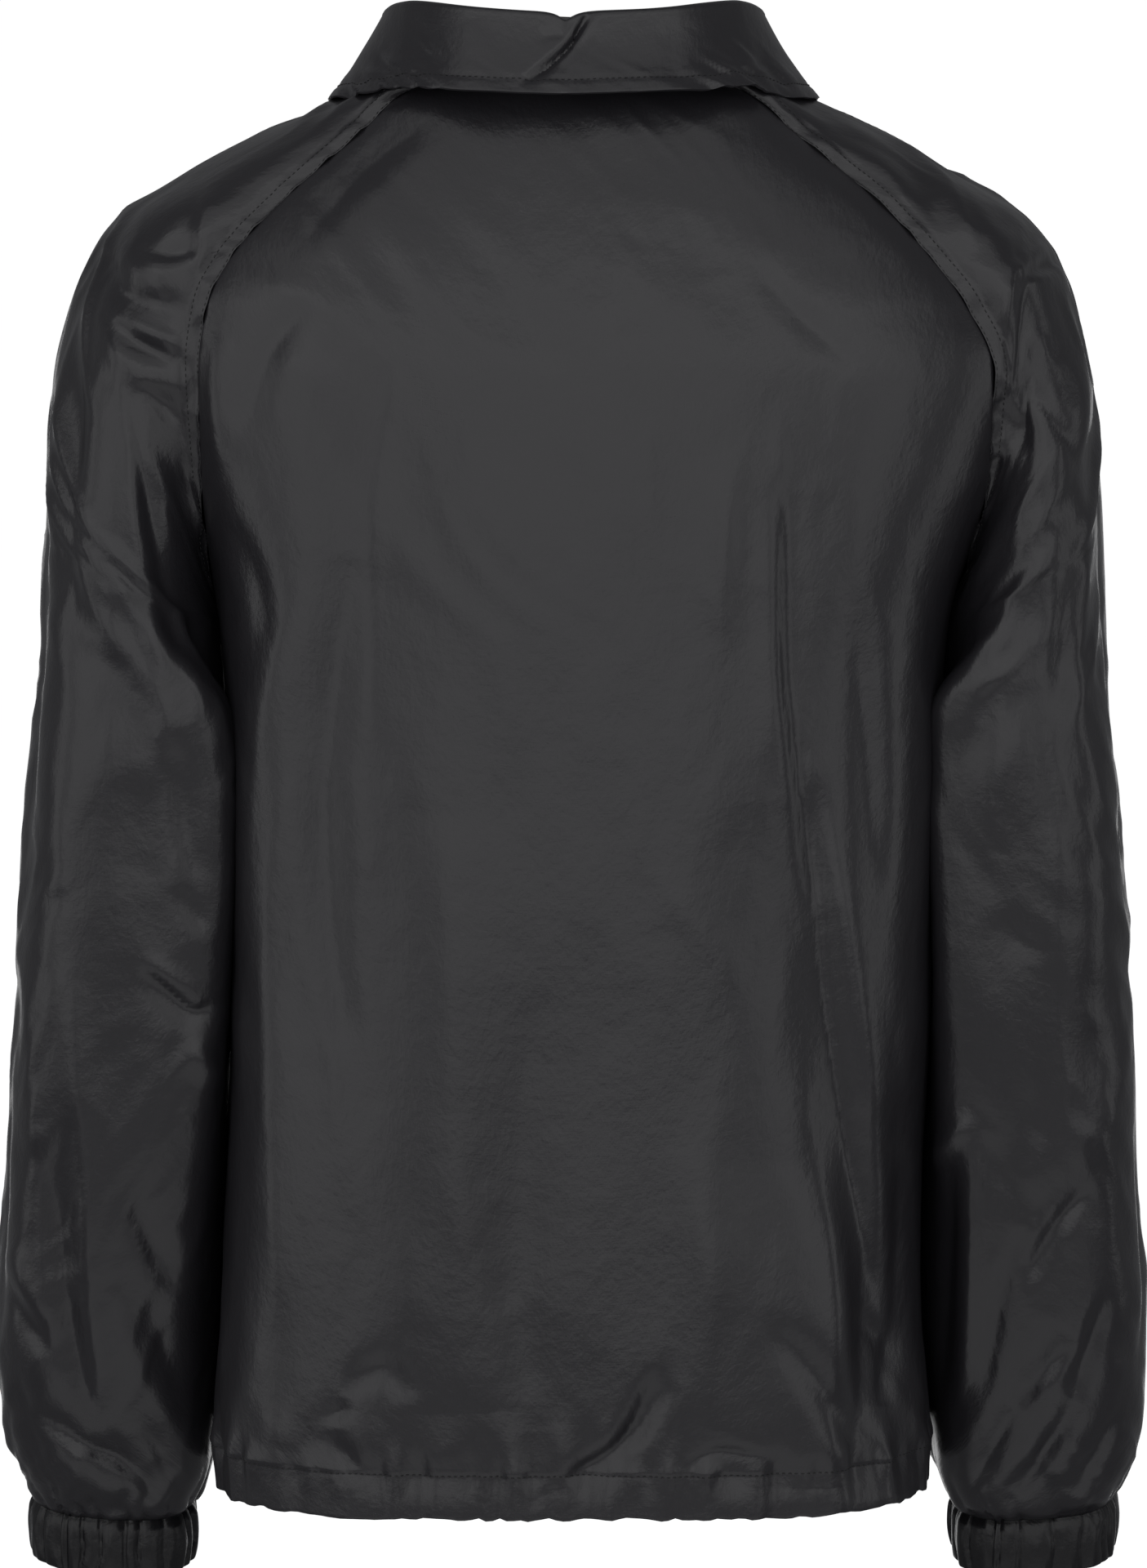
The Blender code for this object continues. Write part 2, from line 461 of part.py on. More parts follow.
def collar_pieces(panels):
    """The stand on the neck seam and the leaf that rolls over its top and turns down, as outer points and normals.

    Both follow the neck's line, round from the right front over the back to the left front.
    """
    neck = np.vstack([panels["front_right"][0][0], panels["sleeve_right"][0][0, ::-1], panels["back"][0][0],
                      panels["sleeve_left"][0][0], panels["front_left"][0][0, ::-1]])
    near_opening = (neck[:, 1] < 0) & (np.abs(neck[:, 0]) < COLLAR_OPENING)
    past_centre = np.concatenate([neck[:FRONT_COLUMNS, 0] > 0, np.zeros(len(neck) - 2 * FRONT_COLUMNS, bool),
                                  neck[-FRONT_COLUMNS:, 0] < 0])
    neck = neck[~near_opening & ~past_centre]
    length = np.concatenate([[0], np.cumsum(np.linalg.norm(np.diff(neck, axis=0), axis=1))])
    even = np.linspace(0, length[-1], COLLAR_COLUMNS + 1)
    neck = np.stack([np.interp(even, length, neck[:, axis]) for axis in range(3)], axis=1)
    signed = np.linspace(-1, 1, COLLAR_COLUMNS + 1)
    line = read_table(COLLAR, np.abs(signed))
    mirror = np.stack([np.where(signed < 0, -1.0, 1.0), 1 + 0 * signed, 1 + 0 * signed], axis=1)
    fold, edge = line[:, :3] * mirror, line[:, 3:] * mirror
    ahead = np.gradient(fold, axis=0)
    out = np.stack([ahead[:, 1], -ahead[:, 0], 0 * signed], axis=1)
    out /= np.linalg.norm(out, axis=1, keepdims=True)
    out *= np.sign(np.sum(out * fold, axis=1).sum())
    up = np.array([0.0, 0.0, 1.0])
    roll = WALL + LEAF_CLEAR / 2
    middle = fold - up * roll
    top = middle - out * (roll - WALL) - up * SEAM_GAP
    base = neck + up * SEAM_GAP * 2
    stand = np.stack([base + (top - base) * step for step in (0.0, 0.5, 1.0)])
    turns = np.radians([180, 135, 90, 45, 0])
    facing = [out * np.cos(angle) + up * np.sin(angle) for angle in turns]
    turned = [middle + roll * ray for ray in facing]
    hanging = [turned[-1] + (edge - turned[-1]) * step + out * LEAF_BOW * np.sin(np.pi * step)
               for step in (0.33, 0.67, 1.0)]
    leaf = np.stack(turned + hanging)
    leaf_normals = grid_normals(leaf, leaf)
    leaf_normals *= np.sign(np.sum(leaf_normals[-1] * out))
    leaf_normals[:len(turns)] = np.stack(facing)
    return {"collar_stand": (stand, np.broadcast_to(out, stand.shape)), "collar_leaf": (leaf, leaf_normals)}


def press_stud(name, cloth, level):
    """A low domed cap that lies on the cloth of the left front, on the centre line at the level given."""
    tree = BVHTree.FromObject(cloth, bpy.context.evaluated_depsgraph_get())
    seat, outward, _, _ = tree.ray_cast((0.0, -1.0, level), (0.0, 1.0, 0.0))
    outward = np.array(outward)
    centre = np.array(seat) + outward * SNAP_CLEAR
    side = np.cross([0, 0, 1.0], outward)
    side /= np.linalg.norm(side)
    up = np.cross(outward, side)
    angle = np.linspace(0, 2 * np.pi, SNAP_SIDES, endpoint=False)
    circle = SNAP_RADIUS * (np.cos(angle)[:, None] * side + np.sin(angle)[:, None] * up)
    vertices = [centre + outward * SNAP_HEIGHT]
    for radius, height in SNAP_OUTLINE:
        vertices.extend(centre + outward * SNAP_HEIGHT * height + circle * radius)
    ahead = np.roll(np.arange(SNAP_SIDES), -1)
    faces = [(0, 1 + i, 1 + j) for i, j in enumerate(ahead)]
    for level_start in range(1, 1 + (len(SNAP_OUTLINE) - 1) * SNAP_SIDES, SNAP_SIDES):
        below = level_start + SNAP_SIDES
        faces += [(level_start + i, below + i, below + j, level_start + j) for i, j in enumerate(ahead)]
    last = 1 + (len(SNAP_OUTLINE) - 1) * SNAP_SIDES
    faces.append(tuple(last + i for i in reversed(range(SNAP_SIDES))))
    return add_object(name, np.array(vertices), faces, CAP)


def main():
    for old in list(bpy.data.objects):
        bpy.data.objects.remove(old, do_unlink=True)
    panels = torso_pieces()
    panels["sleeve_left"] = sleeve_piece("sleeve_left", 1)
    panels["sleeve_right"] = sleeve_piece("sleeve_right", -1)
    panels.update(collar_pieces(panels))
    shapes = {}
    for name, (points, normals) in panels.items():
        closed = ARMHOLE_ROWS if name.startswith("sleeve") else None
        shapes[name] = cloth_piece(name, points, normals, closed_from=closed)
    for name, side in (("cuff_left", 1), ("cuff_right", -1)):
        points, normals = cuff_piece(side)
        cloth_piece(name, points, normals, finish_values=ELASTIC, round_=True)
    for number, level in enumerate(SNAP_LEVELS, 1):
        press_stud(f"snap_{number}", shapes["front_left"], level)


main()
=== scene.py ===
"""Coach jacket of black nylon taffeta, hollow and in the shape that it has when worn, seen from behind.

The origin is in the middle of the neck. +Z is up, the front faces -Y, and the wearer's left is +X. All sizes
are in metres.
"""

import bpy
import numpy as np
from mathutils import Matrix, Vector
from mathutils.bvhtree import BVHTree


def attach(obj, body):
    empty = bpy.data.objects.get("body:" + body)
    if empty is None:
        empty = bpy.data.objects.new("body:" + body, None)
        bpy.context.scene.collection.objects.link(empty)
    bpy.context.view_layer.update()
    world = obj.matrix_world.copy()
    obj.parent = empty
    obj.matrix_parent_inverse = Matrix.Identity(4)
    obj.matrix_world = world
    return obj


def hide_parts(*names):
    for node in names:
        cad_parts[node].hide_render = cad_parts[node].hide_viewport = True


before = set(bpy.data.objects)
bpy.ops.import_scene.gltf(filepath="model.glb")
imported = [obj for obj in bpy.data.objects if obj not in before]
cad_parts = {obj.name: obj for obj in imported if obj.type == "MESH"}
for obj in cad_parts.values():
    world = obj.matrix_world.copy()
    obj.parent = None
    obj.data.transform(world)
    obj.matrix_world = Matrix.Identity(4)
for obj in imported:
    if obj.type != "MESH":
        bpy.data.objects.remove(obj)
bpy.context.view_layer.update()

# The back: one panel of thin nylon from the neck to the hem, cut off along the two raglan seams.
# Its side edges slip under the sleeves and the fronts, and its hem is turned up inside into a casing,
# which is stitched down all round and gathered a little.
SHELL = 0.0004             # thickness of the cloth
CLOTH_PITCH = 0.0042       # distance between a panel's rows below the armholes
EDGE_PITCH = 0.0012        # the same beside a seam
EDGE_COLUMNS = 11          # columns that lie that close
BACK_SQUARENESS = (2.5, 3.2)   # exponent of its rings at the neck and below the armholes, 2 is an ellipse
BACK_SQUARE_FROM = (-0.090, -0.250)   # heights between which it changes
UNDERARM_ROWS = 96         # rows from the neck to the underarm
HEM_ROWS = 58              # rows in the lowest part of the body
HEM_ZONE = -0.640          # where the rows begin to lie closer
HEM_HEIGHT = 0.021         # height of the turned-up casing
HEM_ROLL = 0.0009          # radius of the hem's lower edge
HEM_WAVE = 0.0012          # height of the hem's gathers
HEM_WAVES = 15             # gathers across the back, and as many across the fronts
HEM_PUCKER = 0.0024        # height of the puckers beside the hem's stitching
CASING_PUCKER = 0.0012     # the same lower down on the casing
HEM_GROOVE = 0.0007        # depth of the groove along the stitching
HEM_GROOVE_WIDTHS = (0.0009, 0.0120)   # its width above the stitching and below it
HEM_SCALLOP = 0.0011       # height of the scallops in the lower edge
ROLL_ANGLES = (35, 90, 145)    # degrees at which the cloth's turned edges have a row
SEAM_DIP = 0.0003          # depth of the groove along a seam
SEAM_DIP_WIDTH = 0.0010    # width of that groove
LARGE_CRINKLE = 0.0017     # height of the larger facets of crushed cloth
SMALL_CRINKLE = 0.0006     # height of the smaller ones
CRINKLE_CREST = (0.0025, 0.0060)   # how round the lines between them are, as the square of a noise
TORSO_CRINKLE = 0.32       # how crushed the back and the fronts are
SEAM_FADE = 0.020          # folds fade out over this width beside a seam
TUCKS = ((0.0008, 0.0006), (0.0020, 0.0010))   # how far an edge reaches under its neighbour, and how deep
BACK_COLUMNS = 172
BACK_FINE_COLUMNS = 901    # columns of the finer grid from which they are read
CREST = 0.0009             # radius at which a fold's ridge is rounded

# height and pitch (across, down) of the unevenness of hanging cloth: long swells, dents and small dents
CRUMPLES = ((0.0009, (0.045, 0.120)), (0.00035, (0.022, 0.040)), (0.00012, (0.010, 0.014)))

# height, half-width on the left, half-width on the right, depth behind, depth in front
TORSO_RINGS = np.array([
    (-0.7035, 0.1815, 0.1815, 0.135, 0.137),
    (-0.6800, 0.1832, 0.1820, 0.136, 0.138),
    (-0.6200, 0.1800, 0.1780, 0.137, 0.140),
    (-0.5500, 0.1765, 0.1770, 0.136, 0.140),
    (-0.4500, 0.1725, 0.1820, 0.135, 0.140),
    (-0.3500, 0.1740, 0.1855, 0.135, 0.141),
    (-0.2700, 0.1780, 0.1870, 0.135, 0.140),
])

# way up the raglan seam, left x, right x, seam y, seam z, middle y, middle z
BACK_SEAM = np.array([
    (0.00, 0.1780, 0.1870, 0.000, -0.2700, 0.135, -0.270),
    (0.12, 0.1830, 0.1985, 0.042, -0.2320, 0.1348, -0.232),
    (0.25, 0.1850, 0.2065, 0.070, -0.1900, 0.133, -0.191),
    (0.38, 0.1850, 0.2070, 0.083, -0.1430, 0.128, -0.146),
    (0.50, 0.1805, 0.1935, 0.083, -0.1100, 0.121, -0.115),
    (0.62, 0.1690, 0.1760, 0.079, -0.0860, 0.113, -0.088),
    (0.74, 0.1440, 0.1500, 0.071, -0.0580, 0.103, -0.060),
    (0.87, 0.1060, 0.1100, 0.062, -0.0245, 0.090, -0.028),
    (0.94, 0.0850, 0.0870, 0.059, -0.0050, 0.083, -0.012),
    (1.00, 0.0600, 0.0610, 0.058, 0.0060, 0.077, 0.003),
])

# Folds seen from behind: the line's points (x, z), width on its left and right, height (a trough is negative)
BACK_FOLDS = [
    ([(-0.104, -0.200), (-0.105, -0.280), (-0.112, -0.340), (-0.122, -0.400)], 0.0045, 0.024, -0.0058),
    ([(-0.096, -0.205), (-0.097, -0.280), (-0.104, -0.345)], 0.007, 0.010, 0.0026),
    ([(-0.116, -0.350), (-0.126, -0.430), (-0.140, -0.520), (-0.155, -0.600)], 0.028, 0.007, -0.0105),
    ([(-0.128, -0.370), (-0.144, -0.480), (-0.160, -0.590)], 0.007, 0.010, 0.0040),
    ([(-0.138, -0.260), (-0.146, -0.330), (-0.150, -0.400)], 0.014, 0.009, -0.0040),
    ([(0.108, -0.230), (0.124, -0.361), (0.114, -0.470)], 0.020, 0.016, -0.0060),
    ([(0.140, -0.257), (0.155, -0.330), (0.160, -0.420)], 0.010, 0.014, 0.0036),
    ([(0.143, -0.342), (0.151, -0.430), (0.146, -0.600)], 0.016, 0.012, 0.0040),
    ([(0.062, -0.360), (0.058, -0.500), (0.052, -0.650)], 0.034, 0.026, 0.0050),
    ([(0.176, -0.124), (0.178, -0.152), (0.172, -0.190)], 0.010, 0.012, 0.0035),
    ([(0.169, -0.217), (0.159, -0.241), (0.151, -0.275)], 0.009, 0.008, -0.0030),
    ([(-0.040, -0.634), (-0.029, -0.659), (-0.015, -0.673), (0.004, -0.684)], 0.004, 0.013, -0.0072),
    ([(-0.052, -0.640), (-0.040, -0.662), (-0.026, -0.676)], 0.006, 0.006, 0.0022),
    ([(0.122, -0.664), (0.114, -0.676), (0.108, -0.688)], 0.003, 0.008, -0.0032),
    ([(0.114, -0.668), (0.106, -0.684)], 0.003, 0.005, -0.0020),
    ([(0.112, -0.640), (0.093, -0.629), (0.079, -0.644)], 0.007, 0.006, -0.0032),
    ([(0.122, -0.657), (0.110, -0.648)], 0.004, 0.006, -0.0020),
    ([(-0.096, -0.674), (-0.071, -0.670), (-0.055, -0.681)], 0.004, 0.007, -0.0030),
    ([(-0.100, -0.610), (-0.120, -0.636), (-0.137, -0.671)], 0.010, 0.007, -0.0046),
    ([(-0.146, -0.608), (-0.164, -0.628), (-0.159, -0.655)], 0.007, 0.006, -0.0040),
    ([(-0.080, -0.184), (-0.074, -0.219), (-0.070, -0.270)], 0.012, 0.008, 0.0024),
    ([(0.161, -0.170), (0.149, -0.132), (0.130, -0.108)], 0.008, 0.012, -0.0026),
    ([(0.020, -0.440), (0.026, -0.560), (0.020, -0.660)], 0.026, 0.016, -0.0030),
    ([(-0.060, -0.520), (-0.066, -0.600), (-0.058, -0.660)], 0.014, 0.020, 0.0030),
    ([(0.083, -0.120), (0.098, -0.230), (0.100, -0.330)], 0.012, 0.007, 0.0018),
    ([(-0.088, -0.090), (-0.108, -0.112), (-0.138, -0.140)], 0.010, 0.007, -0.0024),
    ([(0.133, -0.080), (0.105, -0.044), (0.073, -0.020)], 0.009, 0.012, -0.0024),
    ([(-0.122, -0.530), (-0.127, -0.600), (-0.124, -0.690)], 0.030, 0.013, 0.0085),
    ([(-0.150, -0.580), (-0.146, -0.640), (-0.138, -0.690)], 0.010, 0.012, -0.0040),
    ([(-0.164, -0.500), (-0.168, -0.590), (-0.160, -0.700)], 0.026, 0.016, -0.0090),
]


def read_table(table, where):
    """All columns of a table at the places given, on a smooth curve through its rows without overshoot.

    It is a cubic from row to row, whose slope at a row is the harmonic mean of the slopes on both sides.
    """
    if table[0, 0] > table[-1, 0]:
        table = table[::-1]
    place, values = table[:, 0], table[:, 1:]
    step = np.diff(place)[:, None]
    slope = np.diff(values, axis=0) / step
    both = slope[1:] + slope[:-1]
    product = slope[1:] * slope[:-1]
    inner = np.where(product > 0, 2 * product / np.where(both == 0, 1, both), 0.0)
    tangent = np.vstack([slope[:1], inner, slope[-1:]])
    where = np.asarray(where, float)
    row = np.clip(np.searchsorted(place, where) - 1, 0, len(place) - 2)
    part = ((where - place[row]) / step[row, 0])[:, None]
    start, end = values[row], values[row + 1]
    bend = tangent[row] * (part**3 - 2 * part**2 + part) + tangent[row + 1] * (part**3 - part**2)
    return start * (2 * part**3 - 3 * part**2 + 1) + end * (3 * part**2 - 2 * part**3) + step[row] * bend


def power(value, exponent):
    """A signed power, so that a ring's formula holds all the way round."""
    return np.sign(value) * np.abs(value) ** exponent


def ease(value):
    """A smooth step from 0 to 1 as the value goes from 0 to 1."""
    value = np.clip(value, 0, 1)
    return value * value * (3 - 2 * value)


def torso_rows(seam, face):
    """Rows from the neck to the hem: the seam's x on both sides, its y and z, and the middle's y and z."""
    upper = read_table(seam, np.linspace(1, 0, UNDERARM_ROWS))
    heights = np.concatenate([np.arange(TORSO_RINGS[-1, 0] - CLOTH_PITCH, HEM_ZONE, -CLOTH_PITCH),
                              np.linspace(HEM_ZONE, TORSO_RINGS[0, 0], HEM_ROWS)])
    rings = read_table(TORSO_RINGS, heights)
    depth = rings[:, 2] if face > 0 else -rings[:, 3]
    lower = np.stack([rings[:, 0], rings[:, 1], 0 * depth, heights, depth, heights], axis=1)
    return np.vstack([upper, lower])


def torso_panel(rows, across, squareness):
    """Grid of points, a row per torso row. Across runs from -1 at the right seam to 1 at the left seam.

    Each half row is a piece of a superellipse through the seam's point and the middle's, with its level
    blended from one to the other.
    """
    left, right, seam_y, seam_z, middle_y, middle_z = [column[:, None] for column in rows.T]
    width = np.where(across > 0, left, right)
    seam_sine = np.clip(seam_y / middle_y, 0, 1) ** (squareness / 2)
    seam_angle = np.arcsin(seam_sine)
    half_width = width / np.cos(seam_angle) ** (2 / squareness)
    angle = seam_angle + (np.pi / 2 - seam_angle) * (1 - np.abs(across))
    x = np.sign(across) * half_width * power(np.cos(angle), 2 / squareness)
    y = middle_y * power(np.sin(angle), 2 / squareness)
    blend = (np.sin(angle) - seam_sine) / (1 - seam_sine)
    return np.stack([x, y, seam_z + (middle_z - seam_z) * blend], axis=-1)


def run_along(points, axis):
    """Length of the cloth along a grid's axis, from its first line on."""
    step = np.linalg.norm(np.diff(points, axis=axis), axis=-1)
    return np.insert(np.cumsum(step, axis=axis), 0, 0, axis=axis)


def lay_columns(points, count):
    """A fine grid read again at fewer columns: close ones beside both seams, and even ones between."""
    near = np.arange(EDGE_COLUMNS) * EDGE_PITCH
    rows = []
    for line, run in zip(points, run_along(points, 1)):
        middle = np.linspace(near[-1] + EDGE_PITCH, run[-1] - near[-1] - EDGE_PITCH, count - 2 * EDGE_COLUMNS)
        places = np.concatenate([near, middle, run[-1] - near[::-1]])
        rows.append(np.stack([np.interp(places, run, line[:, axis]) for axis in range(3)], axis=1))
    return np.array(rows)


def join_smoothly(points):
    """A torso panel whose rows above and below the underarm run into each other, away from its seams.

    There each point moves to the mean of its column's rows, weighted by a bell, and it fades out all round.
    """
    bell = np.hanning(27)[1:-1]
    padded = np.concatenate([np.repeat(points[:1], 12, axis=0), points, np.repeat(points[-1:], 12, axis=0)])
    evened = np.stack([np.apply_along_axis(np.convolve, 0, padded[..., axis], bell / bell.sum(), "valid")
                       for axis in range(3)], axis=-1)
    near = ease(1.6 - np.abs(np.arange(len(points)) - UNDERARM_ROWS) / 24)[:, None]
    inside = ease(seam_distance(points, "first") / 0.030) * ease(seam_distance(points, "last") / 0.030)
    return points + (evened - points) * (near * inside)[..., None]


def grid_normals(points, inside, closed_from=None):
    """Unit normals of a grid of points, facing away from what is inside.

    From row closed_from on, the grid's first and last columns are the same line.
    """
    down = np.gradient(points, axis=0)
    around = np.gradient(points, axis=1)
    if closed_from is not None:
        wrapped = points[closed_from:, 1] - points[closed_from:, -2]
        around[closed_from:, 0] = wrapped
        around[closed_from:, -1] = wrapped
    normal = np.cross(down, around)
    normal /= np.maximum(np.linalg.norm(normal, axis=-1, keepdims=True), 1e-12)
    return normal * (1 if np.sum(normal * (points - inside)) >= 0 else -1)


def near_line(points, line):
    """Distance of points from a line, the side they lie on in a plane (1 is left), and part of its way."""
    length = np.concatenate([[0], np.cumsum(np.linalg.norm(np.diff(line, axis=0), axis=1))])
    best = np.full(points.shape[:-1], np.inf)
    side = np.ones(points.shape[:-1])
    way = np.zeros(points.shape[:-1])
    for start, end, before, after in zip(line[:-1], line[1:], length[:-1], length[1:]):
        run = end - start
        offset = points - start
        part = np.clip(offset @ run / (run @ run), 0, 1)
        away = np.linalg.norm(offset - part[..., None] * run, axis=-1)
        closer = away < best
        best = np.where(closer, away, best)
        way = np.where(closer, before + (after - before) * part, way)
        if points.shape[-1] == 2:
            side = np.where(closer, np.sign(run[0] * offset[..., 1] - run[1] * offset[..., 0]), side)
    return best, side, way / length[-1]


def smooth_line(corners):
    """A short list of points as a smooth line, by the distance between them."""
    corners = np.array(corners, float)
    way = np.concatenate([[0], np.cumsum(np.linalg.norm(np.diff(corners, axis=0), axis=1))])
    return read_table(np.hstack([way[:, None], corners]), np.linspace(0, way[-1], 4 * len(corners)))


def folded(flat, folds):
    """Heights of folds at flat places. A fold is its line's points, width left, width right, and height.

    Its height falls off with the distance from its line, half as a bell and half as a tent with a crisp
    ridge, over one width on the line's left and another on its right, and towards both ends of the line.
    """
    height = np.zeros(flat.shape[:-1])
    for corners, left, right, tall in folds:
        line = smooth_line(corners)
        reach = 3.2 * max(left, right)
        close = np.all((flat > line.min(0) - reach) & (flat < line.max(0) + reach), axis=-1)
        away, side, way = near_line(flat[close], line)
        width = np.where(side > 0, left, right)
        tent = np.exp(-(np.hypot(away, CREST) - CREST) / (0.8 * width)) * ease(3 - away / width)
        profile = 0.45 * np.exp(-(away / width) ** 2) + 0.55 * tent
        height[close] += tall * profile * (0.2 + 0.8 * np.sin(np.pi * way) ** 0.7)
    return height


def fold_height(points, normals, facing, folds):
    """How far each point moves out for the folds seen from one side: behind, in front, or the outer side."""
    across = 0 if facing[0] == 0 else 1
    seen = ease(2.5 * (normals @ np.array(facing, float)))
    return seen * folded(np.where(seen[..., None] > 0, points[..., [across, 2]], 9.0), folds)


def crinkles(points, seed, amount=1.0):
    """Thin stiff cloth that has been crushed: flat facets between crisp lines, at two sizes.

    The height is 1 - 2|n| of a soft noise n, whose places are first shifted by another noise.
    """
    across, down = run_along(points, 1), run_along(points, 0)
    sideways = 0.020 * soft_noise(across, down, (0.055, 0.075), seed)
    lengthways = 0.030 * soft_noise(across, down, (0.060, 0.060), seed + 1)
    large = soft_noise(across + sideways + 0.25 * down, down + lengthways, (0.032, 0.095), seed + 2)
    small = soft_noise(across + 0.5 * sideways - 0.3 * down, down + lengthways, (0.015, 0.027), seed + 3)
    where = 0.25 + 0.75 * ease(0.5 + 1.2 * soft_noise(across, down, (0.07, 0.10), seed + 4))
    large_facets = LARGE_CRINKLE * (1 - 2 * np.sqrt(large**2 + CRINKLE_CREST[0]))
    small_facets = SMALL_CRINKLE * (1 - 2 * np.sqrt(small**2 + CRINKLE_CREST[1]))
    return amount * where * (large_facets + small_facets)


def soft_noise(first, second, pitch, seed):
    """Smooth random heights from -1 to 1: random values on a lattice of this pitch, eased into each other."""
    lattice = np.random.default_rng(seed).uniform(-1, 1, (64, 64))
    u, v = first / pitch[0] + 17.3, second / pitch[1] + 11.9
    column, row = np.floor(u).astype(int), np.floor(v).astype(int)
    part_u, part_v = ease(u - column), ease(v - row)
    corner = [[lattice[(column + i) % 64, (row + j) % 64] for j in (0, 1)] for i in (0, 1)]
    low = corner[0][0] * (1 - part_u) + corner[1][0] * part_u
    high = corner[0][1] * (1 - part_u) + corner[1][1] * part_u
    return low * (1 - part_v) + high * part_v


def seam_distance(points, edge):
    """Distance of every point of a grid from one of its edges, along its row or column."""
    line = {"first": points[:, :1], "last": points[:, -1:], "top": points[:1], "bottom": points[-1:]}[edge]
    return np.linalg.norm(points - line, axis=-1)


def crumples(points, seed, amount=1.0):
    """The slight unevenness of thin cloth that hangs: long soft swells and smaller dents, uneven all over."""
    across, down = run_along(points, 1), run_along(points, 0)
    across = across - across[:, across.shape[1] // 2][:, None]
    return amount * sum(height * soft_noise(across, down, pitch, seed + number)
                        for number, (height, pitch) in enumerate(CRUMPLES))


def hem_gathers(points):
    """How far the hem's gathers move each point out, and up.

    They are waves along the hem that the casing's thread draws together, small puckers beside its stitching,
    a groove along it that is steep on its upper side, and a slightly scalloped lower edge.
    """
    from_edge = points[..., 2] - TORSO_RINGS[0, 0]
    turn = np.arctan2(points[..., 0], np.abs(points[..., 1]))
    wave = np.sin(2 * HEM_WAVES * turn + 1.3 * np.sin(5 * turn)) * (0.7 + 0.3 * np.cos(7 * turn))
    along = turn * 0.16 + np.where(points[..., 1] < 0, 1.0, 0.0)
    narrow_puckers = soft_noise(along, 0.4 * from_edge, (0.0064, 0.05), 41)
    pucker = narrow_puckers + 0.7 * soft_noise(along, from_edge, (0.013, 0.02), 42)
    above = from_edge - HEM_HEIGHT
    near_stitch = np.exp(-(above / 0.010) ** 2)
    groove = np.exp(-(above / np.where(above > 0, *HEM_GROOVE_WIDTHS)) ** 2)
    casing = ease(1 - from_edge / HEM_HEIGHT)
    out = (HEM_WAVE * wave * ease(2.2 - from_edge / HEM_HEIGHT * 0.8)
           + (HEM_PUCKER * near_stitch + CASING_PUCKER * casing) * pucker - HEM_GROOVE * groove)
    return out, HEM_SCALLOP * casing * soft_noise(along, 0 * along, (0.0055, 1.0), 43)


def turn_in(points, normals, rows, radius):
    """The grid carried on past its last row, round a narrow roll and back up behind the last rows."""
    ahead = points[-1] - points[-2]
    ahead /= np.linalg.norm(ahead, axis=-1, keepdims=True)
    roll = [points[-1] + radius * (normals[-1] * (np.cos(turn) - 1) + ahead * np.sin(turn))
            for turn in np.radians(ROLL_ANGLES)]
    behind = (points - 2 * radius * normals)[-1:-1 - rows:-1]
    return np.concatenate([points, roll, behind])


def tuck_under(points, normals, edges):
    """The grid with two more columns past each edge named, which slip under the piece beside it."""
    for edge in edges:
        here, beside = (0, 1) if edge == "first" else (-1, -2)
        away = points[:, here] - points[:, beside]
        away /= np.linalg.norm(away, axis=-1, keepdims=True)
        more = [(points[:, here] + away * reach - normals[:, here] * depth)[:, None]
                for reach, depth in TUCKS]
        points = np.concatenate(more[::-1] + [points] if edge == "first" else [points] + more, axis=1)
    return points


def grid_faces(grid):
    """The four corners of each face of a grid of vertex numbers."""
    return np.stack([grid[:-1, :-1], grid[:-1, 1:], grid[1:, 1:], grid[1:, :-1]], axis=-1).reshape(-1, 4)


def cloth_object(name, points, normals, material, closed_from=None, wall=SHELL):
    """A named object from a grid of outer points, with the cloth's own lengths as its UV map and a thin wall.

    From row closed_from on, the first and last columns are one line, so the piece is a tube there. All faces
    are turned over where those of the upper half look against the normals.
    """
    rows, columns = points.shape[:2]
    grid = np.arange(rows * columns).reshape(rows, columns)
    corners = grid_faces(grid)
    flat = points.reshape(-1, 3)
    facing = np.cross(flat[corners[:, 1]] - flat[corners[:, 0]], flat[corners[:, 3]] - flat[corners[:, 0]])
    upper = np.arange(len(corners)).reshape(rows - 1, columns - 1)[:normals.shape[0] // 2, 2:-2].ravel()
    given = normals.reshape(-1, 3)[:len(flat)]
    outward = np.zeros_like(flat)
    outward[:len(given)] = given
    if np.sum(facing[upper] * outward[corners[upper, 0]]) < 0:
        corners = corners[:, ::-1]
    across, down = run_along(points, 1), run_along(points, 0)
    across = across - across[:, columns // 2][:, None]
    lengths = np.stack([across, down], axis=-1).reshape(-1, 2)
    welded = grid.copy()
    if closed_from is not None:
        welded[closed_from:, -1] = welded[closed_from:, 0]
    used, renamed = np.unique(welded.ravel()[corners], return_inverse=True)
    mesh = bpy.data.meshes.new(name)
    mesh.vertices.add(len(used))
    mesh.vertices.foreach_set("co", flat[used].astype(np.float32).ravel())
    mesh.loops.add(corners.size)
    mesh.loops.foreach_set("vertex_index", renamed.astype(np.int32).ravel())
    mesh.polygons.add(len(corners))
    mesh.polygons.foreach_set("loop_start", np.arange(0, corners.size, 4, dtype=np.int32))
    mesh.update(calc_edges=True)
    cloth_map = mesh.uv_layers.new(name="cloth")
    cloth_map.data.foreach_set("uv", lengths[corners.ravel()].astype(np.float32).ravel())
    mesh.materials.append(material)
    mesh.shade_smooth()
    piece = bpy.data.objects.new(name, mesh)
    bpy.context.scene.collection.objects.link(piece)
    if wall:
        shell = piece.modifiers.new("wall", "SOLIDIFY")
        shell.thickness = wall
        shell.offset = -1
    return piece


